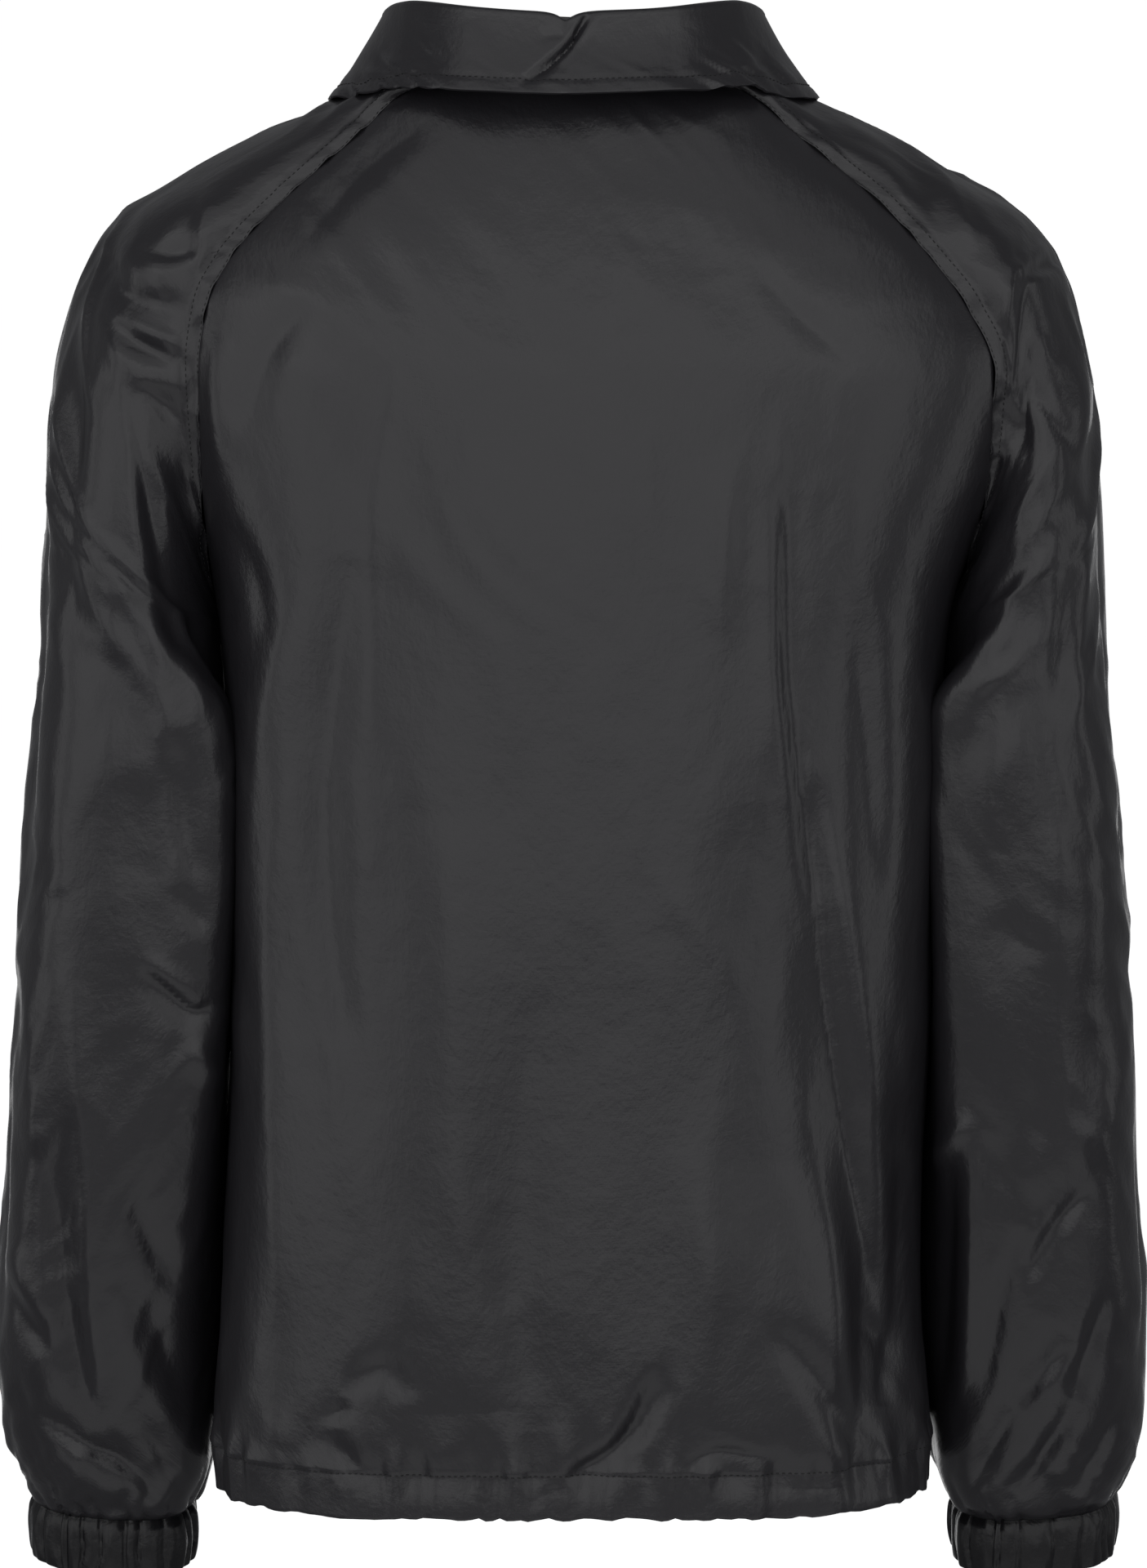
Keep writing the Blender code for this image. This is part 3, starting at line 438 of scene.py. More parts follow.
class Value:
    """A socket of a material. Arithmetic on it adds Math nodes, so that a pattern reads as a formula."""

    def __init__(self, tree, socket=None):
        self.tree = tree
        self.socket = socket

    def node(self, kind, sockets=None, output=0, **settings):
        """The output of a new node. Its settings are made first, then each socket gets a value or a link."""
        made = self.tree.nodes.new(kind)
        for key, setting in settings.items():
            setattr(made, key, setting)
        for key, given in (sockets or {}).items():
            if isinstance(given, Value):
                self.tree.links.new(given.socket, made.inputs[key])
            else:
                made.inputs[key].default_value = given
        return Value(self.tree, made.outputs[output])

    def maths(self, operation, first, second):
        """The result of a Math node on two values."""
        return self.node("ShaderNodeMath", {0: first, 1: second}, operation=operation)

    def __add__(self, other):
        return self.maths("ADD", self, other)

    def __mul__(self, other):
        return self.maths("MULTIPLY", self, other)

    def __sub__(self, other):
        return self.maths("SUBTRACT", self, other)

    def __rsub__(self, other):
        return self.maths("SUBTRACT", other, self)

    __radd__ = __add__
    __rmul__ = __mul__

    def noise(self, scale, detail=2.0, roughness=0.5):
        """Noise from 0 to 1 on this vector, stretched by a scale for each axis."""
        place = self.node("ShaderNodeMapping", {"Vector": self, "Scale": scale})
        sockets = {"Vector": place, "Scale": 1.0, "Detail": detail, "Roughness": roughness}
        return self.node("ShaderNodeTexNoise", sockets)

    def blend(self, low, high):
        """A colour between two, by this value."""
        sockets = {0: self, 6: (*low, 1.0), 7: (*high, 1.0)}
        return self.node("ShaderNodeMix", sockets, output=2, data_type="RGBA")


def nylon_finish(name, dark, light, roughness, crinkle, gloss=0.5):
    """Nylon taffeta: black, with a satin gloss, uneven weft threads that run across it, and fine crinkles.

    Weft and warp are noises drawn out along their threads. They tint the cloth and stand out a little, and
    the crinkles are softer noises of about 7 mm and 2 mm in the relief.
    """
    material = bpy.data.materials.new(name)
    material.use_nodes = True
    tree = material.node_tree
    shader = tree.nodes["Principled BSDF"]
    cloth = Value(tree).node("ShaderNodeUVMap", output=0, uv_map="cloth")
    weft = cloth.noise((90.0, 1500.0, 1.0), 3.0, 0.6)
    warp = cloth.noise((2200.0, 160.0, 1.0), 2.0, 0.5)
    cloud = cloth.noise((14.0, 9.0, 1.0), 3.0, 0.55)
    dents = cloth.noise((150.0, 110.0, 1.0), 3.0, 0.6)
    threads = weft * 0.65 + warp * 0.35
    colour = (threads * 0.7 + cloud * 0.3).blend(dark, light)
    tree.links.new(colour.socket, shader.inputs["Base Color"])
    tree.links.new((roughness - 0.06 + cloud * 0.07 + threads * 0.05).socket, shader.inputs["Roughness"])
    shader.inputs["Specular IOR Level"].default_value = gloss
    fine_dents = cloth.noise((420.0, 330.0, 1.0), 2.0, 0.6)
    relief = threads * 0.00006 + dents * crinkle + fine_dents * (0.3 * crinkle)
    bump = relief.node("ShaderNodeBump", {"Height": relief, "Strength": 1.0, "Distance": 1.0})
    tree.links.new(bump.socket, shader.inputs["Normal"])
    return material


nylon = nylon_finish("nylon", (0.0130, 0.0124, 0.0146), (0.0205, 0.0196, 0.0224),
                     roughness=0.29, crinkle=0.00034)


def torso_shape(points, edges, folds, facing, seed):
    """A torso panel's outer points with folds, crumples, seam grooves and hem gathers, and its normals."""
    normals = grid_normals(points, points * [0, 0, 1])
    beside = np.ones(points.shape[:-1])
    dip = np.zeros(points.shape[:-1])
    for edge in edges:
        distance = seam_distance(points, edge)
        beside = beside * ease(distance / SEAM_FADE)
        if edge != "top":
            dip = dip + np.exp(-(distance / SEAM_DIP_WIDTH) ** 2)
    height = fold_height(points, normals, facing, folds)
    height = height + crumples(points, seed) + crinkles(points, seed, TORSO_CRINKLE)
    height = height * (0.1 + 0.9 * beside)
    height = height * ease(seam_distance(points, "top") / SEAM_FADE)
    gathers, lift = hem_gathers(points)
    height = height + gathers * (0.15 + 0.85 * beside) - SEAM_DIP * dip
    shaped = points + normals * height[..., None]
    shaped[..., 2] += lift * beside
    return shaped, normals


def finish_torso(node, points, normals, tucked, width, length, area):
    """Turn up a panel's hem, tuck its seam edges, and make it the cloth of its node."""
    casing = int(np.sum(points[:, 0, 2] < TORSO_RINGS[0, 0] + HEM_HEIGHT + 0.001))
    turned = turn_in(points, normals, casing, HEM_ROLL)
    facing = np.concatenate([normals, np.repeat(normals[-1:], len(ROLL_ANGLES), axis=0),
                             normals[-1:-1 - casing:-1]])
    piece = cloth_object(node + "_panel", tuck_under(turned, facing, tucked), normals, nylon)
    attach(piece, "root")
    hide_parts(node)
    return piece


# every panel's outer points and normals, for what is sewn to it or set on it
panels = {}
back_rows = torso_rows(BACK_SEAM, 1)
squareness = np.interp(-back_rows[:, 3], -np.array(BACK_SQUARE_FROM), BACK_SQUARENESS)[:, None]
back_fine = torso_panel(back_rows, np.linspace(-1, 1, BACK_FINE_COLUMNS), squareness)
back_grid = join_smoothly(lay_columns(back_fine, BACK_COLUMNS))
panels["back"] = torso_shape(back_grid, ["first", "last", "top"], BACK_FOLDS, (0, 1, 0), 11)
finish_torso("back", *panels["back"], ["first", "last"], 0.57, 0.83, 0.36)


# The two fronts: panels of the same nylon, each from its raglan seam to just past the centre, with the same
# hem as the back. The left one laps over the right one, and its free edge is turned in and stitched down as
# a placket.
LAP_STEP = 0.0024          # how far the right front lies inside the left one where they lap
LAP_HALF = 0.014           # half of the lap's width
LAP_RAMP = 0.045           # width over which the right front steps in
PLACKET_WIDTH = 0.030      # from the left front's free edge to its stitching
PLACKET_PUCKER = 0.0003    # height of its puckers
PLACKET_GROOVE = 0.0006    # depth of the groove along its stitching
PLACKET_STEP = 0.0004      # how far its second layer makes it stand out
FRONT_SQUARENESS = 2.12    # exponent of the fronts' rings
FRONT_COLUMNS = 80
FRONT_FINE_COLUMNS = 501

# the same columns as the back seam's
FRONT_SEAM = np.array([
    (0.00, 0.1780, 0.1870, 0.000, -0.2700, -0.140, -0.270),
    (0.12, 0.1770, 0.1900, -0.042, -0.2350, -0.1398, -0.240),
    (0.25, 0.1720, 0.1870, -0.070, -0.2000, -0.138, -0.210),
    (0.38, 0.1620, 0.1760, -0.086, -0.1650, -0.135, -0.180),
    (0.50, 0.1490, 0.1600, -0.092, -0.1350, -0.130, -0.152),
    (0.62, 0.1330, 0.1400, -0.092, -0.1060, -0.122, -0.125),
    (0.74, 0.1130, 0.1170, -0.085, -0.0770, -0.111, -0.099),
    (0.87, 0.0880, 0.0900, -0.072, -0.0440, -0.096, -0.072),
    (1.00, 0.0660, 0.0670, -0.052, -0.0130, -0.079, -0.045),
])

# Folds seen from in front: the line's points (x, z), width on its left and right, height
FRONT_FOLDS = {
    "front_left": [
        ([(0.104, -0.230), (0.118, -0.380), (0.132, -0.540)], 0.016, 0.028, -0.0065),
        ([(0.138, -0.260), (0.150, -0.400), (0.146, -0.560)], 0.012, 0.010, 0.0035),
        ([(0.055, -0.380), (0.060, -0.520), (0.064, -0.670)], 0.026, 0.018, 0.0045),
        ([(0.124, -0.590), (0.108, -0.650), (0.090, -0.694)], 0.008, 0.018, -0.0050),
        ([(0.050, -0.630), (0.042, -0.660), (0.046, -0.685)], 0.006, 0.009, -0.0022),
        ([(0.150, -0.630), (0.140, -0.660), (0.144, -0.684)], 0.006, 0.008, -0.0024),
        ([(0.120, -0.150), (0.096, -0.190), (0.084, -0.250)], 0.012, 0.016, -0.0022),
        ([(0.070, -0.110), (0.058, -0.160), (0.054, -0.230)], 0.012, 0.010, 0.0014),
        ([(0.160, -0.210), (0.148, -0.260), (0.150, -0.310)], 0.006, 0.010, -0.0026),
    ],
    "front_right": [
        ([(-0.100, -0.220), (-0.112, -0.360), (-0.126, -0.520)], 0.028, 0.016, -0.0065),
        ([(-0.140, -0.280), (-0.152, -0.420), (-0.150, -0.540)], 0.010, 0.012, 0.0035),
        ([(-0.068, -0.390), (-0.076, -0.520), (-0.086, -0.650)], 0.018, 0.024, 0.0045),
        ([(-0.134, -0.580), (-0.116, -0.640), (-0.098, -0.694)], 0.018, 0.008, -0.0050),
        ([(-0.048, -0.640), (-0.056, -0.664), (-0.050, -0.686)], 0.008, 0.006, -0.0022),
        ([(-0.126, -0.160), (-0.104, -0.200), (-0.090, -0.270)], 0.016, 0.011, -0.0022),
        ([(-0.168, -0.220), (-0.156, -0.264), (-0.160, -0.320)], 0.010, 0.006, -0.0026),
    ],
}


def front_across(rows, side):
    """Across values of a front, from its lapped edge just past the middle to its seam, row by row."""
    width = rows[:, 0 if side > 0 else 1]
    sine = np.clip(rows[:, 2] / rows[:, 4], 0, 1) ** (FRONT_SQUARENESS / 2)
    seam_angle = np.arcsin(sine)
    half_width = width / np.cos(seam_angle) ** (2 / FRONT_SQUARENESS)
    past = np.arcsin((LAP_HALF / half_width) ** (FRONT_SQUARENESS / 2)) / (np.pi / 2 - seam_angle)
    return side * np.linspace(-past, 1, FRONT_FINE_COLUMNS).T


front_rows = torso_rows(FRONT_SEAM, -1)
for name, side, seed in (("front_left", 1, 21), ("front_right", -1, 31)):
    fine = torso_panel(front_rows, front_across(front_rows, side), FRONT_SQUARENESS)
    grid = lay_columns(fine, FRONT_COLUMNS)
    shaped, normals = torso_shape(grid, ["last", "top"], FRONT_FOLDS[name], (0, -1, 0), seed)
    if name == "front_right":
        lapped = LAP_STEP * ease((shaped[..., 0] + LAP_HALF + LAP_RAMP) / LAP_RAMP)
        shaped = shaped - normals * lapped[..., None]
    else:
        from_edge = run_along(shaped, 1)
        pucker = soft_noise(run_along(shaped, 0), from_edge, (0.007, 0.016), 57)
        groove = np.exp(-((from_edge - PLACKET_WIDTH) / 0.0018) ** 2)
        height = (PLACKET_PUCKER * pucker * ease(2 - from_edge / PLACKET_WIDTH) - PLACKET_GROOVE * groove
                  + PLACKET_STEP * (from_edge < PLACKET_WIDTH))
        shaped = shaped + normals * height[..., None]
    panels[name] = (shaped, normals)
    front = finish_torso(name, shaped, normals, ["last"], 0.29, 0.79, 0.171)
    if name == "front_left":
        left_front = front


# The sleeves: raglan sleeves of the same nylon, each in one piece from the neck to the cuff with its seam
# under the arm. The seam allowance is turned towards the sleeve and topstitched twice, which puckers it.
SLEEVE_COLUMNS = 164
SLEEVE_FINE_COLUMNS = 401  # columns of each half of the finer grid from which they are read
SLEEVE_PITCH = 0.0028
SLEEVE_END_ROWS = 26       # closer rows above the cuff
SLEEVE_END_ZONE = -0.684   # height at which they begin
SLEEVE_HUG = (6.0, 1.6)    # how closely a hanging sleeve wraps round the torso's side, behind and in front
SLEEVE_FLATNESS = 0.74     # exponent that makes the hanging sleeve squarer than an ellipse, which has 1
HUG_START = 0.050          # depth below the underarm over which the wrapping sets in
HUG_END = (-0.716, -0.674)     # levels between which it fades out towards the cuff
FIRST_STITCHES = 1         # columns from the seam at which the two rows of stitches lie
SECOND_STITCHES = 7
SEAM_PUCKER = 0.0020       # height of the puckers under them
STITCH_GROOVE = 0.0005     # depth of the groove along each row
ALLOWANCE_STEP = 0.0004    # how far the seam allowance makes the cloth stand out
GATHER_HEIGHT = 0.0056     # height of the gathers above the cuff
GATHER_REACH = 0.021       # height over which they fade out
GATHERS = 24
GATHER_ROUNDNESS = 0.38    # exponent that makes the gathers round and the valleys between them sharp
CUFF_SEAM_DIP = 0.0016     # how far the sleeve draws in at the cuff's seam
SLEEVE_CRINKLE = 1.3       # how crushed the sleeves are
CARRY_SHARE = 0.8          # how fully the sleeve takes on its neighbour's direction at the seam
CARRY_REACH = 0.017        # distance over which it keeps it
FOLD_STRENGTH = 1.2        # factor on the heights of the folds below

# way up from the underarm to the neck, outermost x, its y, its z, depth behind, depth in front
SHOULDER = np.array([
    (0.00, 0.2676, -0.004, -0.2250, 0.088, 0.088),
    (0.12, 0.2655, -0.004, -0.1850, 0.090, 0.090),
    (0.25, 0.2612, -0.004, -0.1480, 0.091, 0.092),
    (0.38, 0.2545, -0.004, -0.1150, 0.092, 0.094),
    (0.50, 0.2440, -0.004, -0.0850, 0.091, 0.094),
    (0.62, 0.2240, -0.003, -0.0610, 0.087, 0.092),
    (0.74, 0.1840, -0.002, -0.0370, 0.077, 0.085),
    (0.87, 0.1340, 0.000, -0.0118, 0.065, 0.073),
    (1.00, 0.0900, 0.002, 0.0045, 0.056, 0.054),
])

# height, gap to the torso's side, outermost x, its z, middle y, half-depth, slope towards the back
SLEEVE_RINGS = np.array([
    (-0.7290, 0.0170, 0.2815, -0.7235, -0.034, 0.036, -0.18),
    (-0.7180, 0.0110, 0.2855, -0.7120, -0.033, 0.044, -0.17),
    (-0.7000, 0.0055, 0.2915, -0.6960, -0.031, 0.052, -0.14),
    (-0.6750, 0.0020, 0.2958, -0.6720, -0.028, 0.059, -0.11),
    (-0.6400, 0.0020, 0.2962, -0.6380, -0.023, 0.065, -0.07),
    (-0.5700, 0.0022, 0.2918, -0.5690, -0.014, 0.070, -0.03),
    (-0.4800, 0.0022, 0.2852, -0.4770, -0.006, 0.075, 0.00),
    (-0.3900, 0.0022, 0.2782, -0.3800, -0.003, 0.080, 0.00),
    (-0.3200, 0.0022, 0.2715, -0.2950, -0.003, 0.085, 0.00),
    (-0.2850, 0.0015, 0.2688, -0.2450, -0.004, 0.087, 0.00),
    (-0.2700, 0.0005, 0.2676, -0.2250, -0.004, 0.088, 0.00),
])

# Folds of the left sleeve: the line's points (across, z), width on its left and right, height
LEFT_SLEEVE_FOLDS = {
    (0, 1, 0): [
        ([(0.181, -0.055), (0.184, -0.088), (0.182, -0.118)], 0.003, 0.016, 0.0030),
        ([(0.184, -0.082), (0.200, -0.084), (0.218, -0.080)], 0.015, 0.004, -0.0042),
        ([(0.236, -0.080), (0.223, -0.104), (0.186, -0.112)], 0.011, 0.008, -0.0050),
        ([(0.227, -0.112), (0.212, -0.121), (0.192, -0.130), (0.181, -0.137)], 0.005, 0.003, 0.0032),
        ([(0.229, -0.119), (0.214, -0.130), (0.194, -0.139)], 0.003, 0.010, -0.0048),
        ([(0.229, -0.122), (0.216, -0.143), (0.194, -0.152), (0.182, -0.155)], 0.006, 0.006, 0.0024),
        ([(0.214, -0.148), (0.200, -0.160), (0.188, -0.176)], 0.006, 0.009, -0.0044),
        ([(0.227, -0.130), (0.220, -0.170), (0.215, -0.221), (0.207, -0.281), (0.199, -0.330)],
         0.005, 0.010, 0.0030),
        ([(0.220, -0.150), (0.208, -0.215), (0.196, -0.280)], 0.010, 0.007, -0.0036),
        ([(0.244, -0.190), (0.234, -0.235), (0.222, -0.285)], 0.009, 0.006, 0.0020),
        ([(0.212, -0.170), (0.203, -0.206), (0.198, -0.235)], 0.005, 0.006, 0.0018),
        ([(0.249, -0.105), (0.256, -0.165), (0.262, -0.250)], 0.004, 0.006, 0.0020),
        ([(0.241, -0.105), (0.246, -0.165), (0.250, -0.260)], 0.007, 0.006, -0.0024),
        ([(0.197, -0.330), (0.193, -0.370), (0.187, -0.400)], 0.006, 0.008, -0.0026),
        ([(0.196, -0.398), (0.191, -0.410), (0.184, -0.420)], 0.003, 0.007, -0.0024),
        ([(0.214, -0.440), (0.202, -0.452), (0.189, -0.462), (0.180, -0.457)], 0.007, 0.003, -0.0046),
        ([(0.214, -0.434), (0.200, -0.444), (0.190, -0.452)], 0.006, 0.005, 0.0022),
        ([(0.190, -0.476), (0.184, -0.490), (0.176, -0.497)], 0.006, 0.006, 0.0026),
        ([(0.250, -0.445), (0.247, -0.520), (0.245, -0.590), (0.240, -0.668)], 0.006, 0.010, 0.0028),
        ([(0.268, -0.532), (0.259, -0.598), (0.249, -0.655), (0.240, -0.680)], 0.007, 0.012, -0.0060),
        ([(0.220, -0.560), (0.210, -0.588), (0.200, -0.606)], 0.005, 0.011, -0.0038),
        ([(0.284, -0.585), (0.276, -0.606), (0.266, -0.620)], 0.008, 0.006, 0.0026),
        ([(0.286, -0.606), (0.276, -0.626), (0.264, -0.640)], 0.005, 0.008, -0.0032),
        ([(0.214, -0.610), (0.206, -0.640), (0.198, -0.668)], 0.008, 0.010, -0.0030),
        ([(0.232, -0.600), (0.224, -0.634), (0.218, -0.664)], 0.006, 0.007, 0.0020),
        ([(0.276, -0.672), (0.250, -0.689), (0.226, -0.704), (0.212, -0.722)], 0.004, 0.012, -0.0052),
        ([(0.268, -0.694), (0.248, -0.707), (0.232, -0.718)], 0.010, 0.008, 0.0014),
        ([(0.222, -0.672), (0.210, -0.694), (0.204, -0.714)], 0.006, 0.008, -0.0030),
        ([(0.284, -0.650), (0.280, -0.676), (0.272, -0.700)], 0.006, 0.008, -0.0022),
    ],
    (0, -1, 0): [
        ([(0.196, -0.412), (0.226, -0.432), (0.250, -0.440)], 0.012, 0.005, -0.0045),
        ([(0.202, -0.430), (0.228, -0.448), (0.254, -0.454)], 0.006, 0.006, 0.0026),
        ([(0.204, -0.468), (0.230, -0.480), (0.252, -0.479)], 0.005, 0.013, -0.0042),
        ([(0.206, -0.190), (0.220, -0.226), (0.238, -0.268)], 0.016, 0.008, -0.0050),
        ([(0.188, -0.150), (0.204, -0.176), (0.224, -0.188)], 0.006, 0.010, -0.0036),
        ([(0.190, -0.176), (0.202, -0.204), (0.206, -0.240)], 0.008, 0.005, 0.0026),
        ([(0.234, -0.150), (0.244, -0.220), (0.246, -0.300)], 0.012, 0.008, 0.0022),
        ([(0.228, -0.280), (0.222, -0.340), (0.212, -0.392)], 0.008, 0.012, -0.0028),
        ([(0.256, -0.500), (0.244, -0.560), (0.228, -0.640)], 0.014, 0.010, -0.0046),
        ([(0.272, -0.540), (0.262, -0.600), (0.252, -0.660)], 0.006, 0.009, 0.0026),
        ([(0.270, -0.672), (0.246, -0.690), (0.226, -0.704)], 0.010, 0.005, -0.0044),
        ([(0.216, -0.600), (0.222, -0.640), (0.234, -0.676)], 0.006, 0.008, -0.0028),
        ([(0.210, -0.520), (0.206, -0.570), (0.212, -0.610)], 0.008, 0.008, 0.0020),
    ],
    (1, 0, 0): [
        ([(-0.052, -0.150), (-0.046, -0.260), (-0.050, -0.380)], 0.010, 0.014, -0.0026),
        ([(0.030, -0.200), (0.036, -0.300), (0.024, -0.410)], 0.012, 0.010, -0.0022),
        ([(-0.060, -0.424), (-0.030, -0.444), (0.010, -0.452), (0.040, -0.440)], 0.005, 0.012, -0.0013),
        ([(-0.056, -0.470), (-0.024, -0.484), (0.008, -0.482)], 0.012, 0.005, -0.0012),
        ([(-0.050, -0.520), (-0.030, -0.590), (-0.040, -0.660)], 0.010, 0.014, -0.0034),
        ([(0.022, -0.500), (0.010, -0.570), (0.014, -0.640)], 0.012, 0.008, -0.0030),
        ([(-0.010, -0.560), (-0.014, -0.620), (-0.010, -0.670)], 0.008, 0.010, 0.0022),
        ([(-0.066, -0.676), (-0.040, -0.696), (-0.016, -0.704)], 0.006, 0.010, -0.0034),
        ([(0.018, -0.664), (0.000, -0.688), (-0.012, -0.708)], 0.008, 0.005, -0.0030),
    ],
}

# Folds of the right sleeve, in the same way
RIGHT_SLEEVE_FOLDS = {
    (0, 1, 0): [
        ([(-0.238, -0.079), (-0.226, -0.086), (-0.217, -0.094)], 0.003, 0.008, 0.0030),
        ([(-0.216, -0.090), (-0.212, -0.120), (-0.208, -0.146)], 0.012, 0.002, 0.0034),
        ([(-0.222, -0.096), (-0.231, -0.091), (-0.244, -0.086)], 0.003, 0.009, -0.0052),
        ([(-0.224, -0.096), (-0.221, -0.130), (-0.217, -0.158)], 0.003, 0.026, -0.0064),
        ([(-0.207, -0.150), (-0.214, -0.166), (-0.222, -0.182)], 0.004, 0.005, -0.0044),
        ([(-0.226, -0.148), (-0.222, -0.162), (-0.224, -0.178)], 0.006, 0.003, -0.0044),
        ([(-0.214, -0.146), (-0.217, -0.156), (-0.222, -0.166)], 0.004, 0.003, 0.0020),
        ([(-0.253, -0.190), (-0.240, -0.170), (-0.228, -0.150)], 0.005, 0.007, -0.0030),
        ([(-0.244, -0.184), (-0.236, -0.172), (-0.230, -0.160)], 0.003, 0.004, 0.0014),
        ([(-0.200, -0.180), (-0.206, -0.186), (-0.214, -0.191)], 0.003, 0.005, -0.0028),
        ([(-0.214, -0.192), (-0.206, -0.212), (-0.196, -0.240)], 0.008, 0.005, 0.0028),
        ([(-0.250, -0.110), (-0.252, -0.150), (-0.251, -0.188)], 0.006, 0.005, 0.0022),
        ([(-0.254, -0.200), (-0.251, -0.261), (-0.248, -0.325)], 0.006, 0.005, 0.0022),
        ([(-0.244, -0.200), (-0.242, -0.262), (-0.240, -0.320)], 0.005, 0.006, -0.0016),
        ([(-0.248, -0.320), (-0.240, -0.403), (-0.244, -0.486), (-0.262, -0.556)], 0.010, 0.022, 0.0024),
        ([(-0.206, -0.260), (-0.210, -0.320), (-0.206, -0.380)], 0.010, 0.012, 0.0016),
        ([(-0.214, -0.410), (-0.222, -0.424), (-0.236, -0.430)], 0.007, 0.008, -0.0014),
        ([(-0.197, -0.516), (-0.202, -0.540), (-0.202, -0.600), (-0.197, -0.665)], 0.014, 0.003, 0.0042),
        ([(-0.197, -0.517), (-0.190, -0.527), (-0.180, -0.545)], 0.006, 0.003, 0.0028),
        ([(-0.190, -0.540), (-0.188, -0.600), (-0.188, -0.660)], 0.006, 0.007, -0.0055),
        ([(-0.258, -0.552), (-0.244, -0.569), (-0.230, -0.598)], 0.010, 0.004, -0.0040),
        ([(-0.250, -0.552), (-0.238, -0.566), (-0.226, -0.590)], 0.004, 0.007, 0.0022),
        ([(-0.222, -0.576), (-0.214, -0.616), (-0.208, -0.662)], 0.011, 0.004, -0.0034),
        ([(-0.216, -0.584), (-0.209, -0.616), (-0.203, -0.652)], 0.005, 0.009, 0.0020),
        ([(-0.269, -0.608), (-0.262, -0.634), (-0.255, -0.662)], 0.008, 0.004, -0.0038),
        ([(-0.262, -0.606), (-0.254, -0.630), (-0.247, -0.650)], 0.004, 0.006, 0.0020),
        ([(-0.254, -0.630), (-0.238, -0.650), (-0.226, -0.668)], 0.012, 0.003, -0.0038),
        ([(-0.256, -0.664), (-0.242, -0.690), (-0.228, -0.716)], 0.010, 0.004, -0.0046),
        ([(-0.246, -0.664), (-0.233, -0.688), (-0.220, -0.708)], 0.005, 0.007, 0.0024),
        ([(-0.278, -0.672), (-0.267, -0.694), (-0.256, -0.716)], 0.008, 0.005, -0.0038),
        ([(-0.224, -0.668), (-0.214, -0.690), (-0.206, -0.712)], 0.007, 0.005, -0.0034),
    ],
    (0, -1, 0): [
        ([(-0.196, -0.420), (-0.226, -0.436), (-0.250, -0.438)], 0.005, 0.013, -0.0045),
        ([(-0.200, -0.440), (-0.226, -0.456), (-0.250, -0.458)], 0.006, 0.006, 0.0026),
        ([(-0.204, -0.478), (-0.230, -0.492), (-0.252, -0.500)], 0.012, 0.005, -0.0042),
        ([(-0.212, -0.180), (-0.226, -0.214), (-0.242, -0.256)], 0.008, 0.016, -0.0050),
        ([(-0.200, -0.148), (-0.216, -0.166), (-0.236, -0.174)], 0.010, 0.005, -0.0034),
        ([(-0.198, -0.170), (-0.208, -0.200), (-0.210, -0.236)], 0.005, 0.008, 0.0024),
        ([(-0.240, -0.160), (-0.248, -0.230), (-0.248, -0.310)], 0.008, 0.012, 0.0022),
        ([(-0.232, -0.290), (-0.224, -0.346), (-0.214, -0.400)], 0.012, 0.008, -0.0028),
        ([(-0.258, -0.520), (-0.246, -0.580), (-0.230, -0.660)], 0.010, 0.014, -0.0046),
        ([(-0.270, -0.560), (-0.262, -0.612), (-0.254, -0.660)], 0.009, 0.006, 0.0024),
        ([(-0.268, -0.676), (-0.244, -0.692), (-0.224, -0.706)], 0.005, 0.010, -0.0042),
        ([(-0.212, -0.620), (-0.222, -0.654), (-0.232, -0.682)], 0.008, 0.006, -0.0028),
    ],
    (-1, 0, 0): [
        ([(-0.050, -0.160), (-0.044, -0.270), (-0.052, -0.390)], 0.014, 0.010, -0.0026),
        ([(0.034, -0.190), (0.030, -0.290), (0.038, -0.400)], 0.010, 0.012, -0.0022),
        ([(-0.062, -0.430), (-0.026, -0.452), (0.016, -0.450), (0.042, -0.436)], 0.012, 0.005, -0.0013),
        ([(-0.050, -0.478), (-0.020, -0.492), (0.012, -0.494)], 0.005, 0.012, -0.0012),
        ([(-0.052, -0.530), (-0.034, -0.596), (-0.042, -0.664)], 0.014, 0.010, -0.0034),
        ([(0.020, -0.520), (0.012, -0.590), (0.016, -0.650)], 0.008, 0.012, -0.0030),
        ([(-0.062, -0.680), (-0.038, -0.698), (-0.014, -0.706)], 0.010, 0.006, -0.0034),
    ],
}


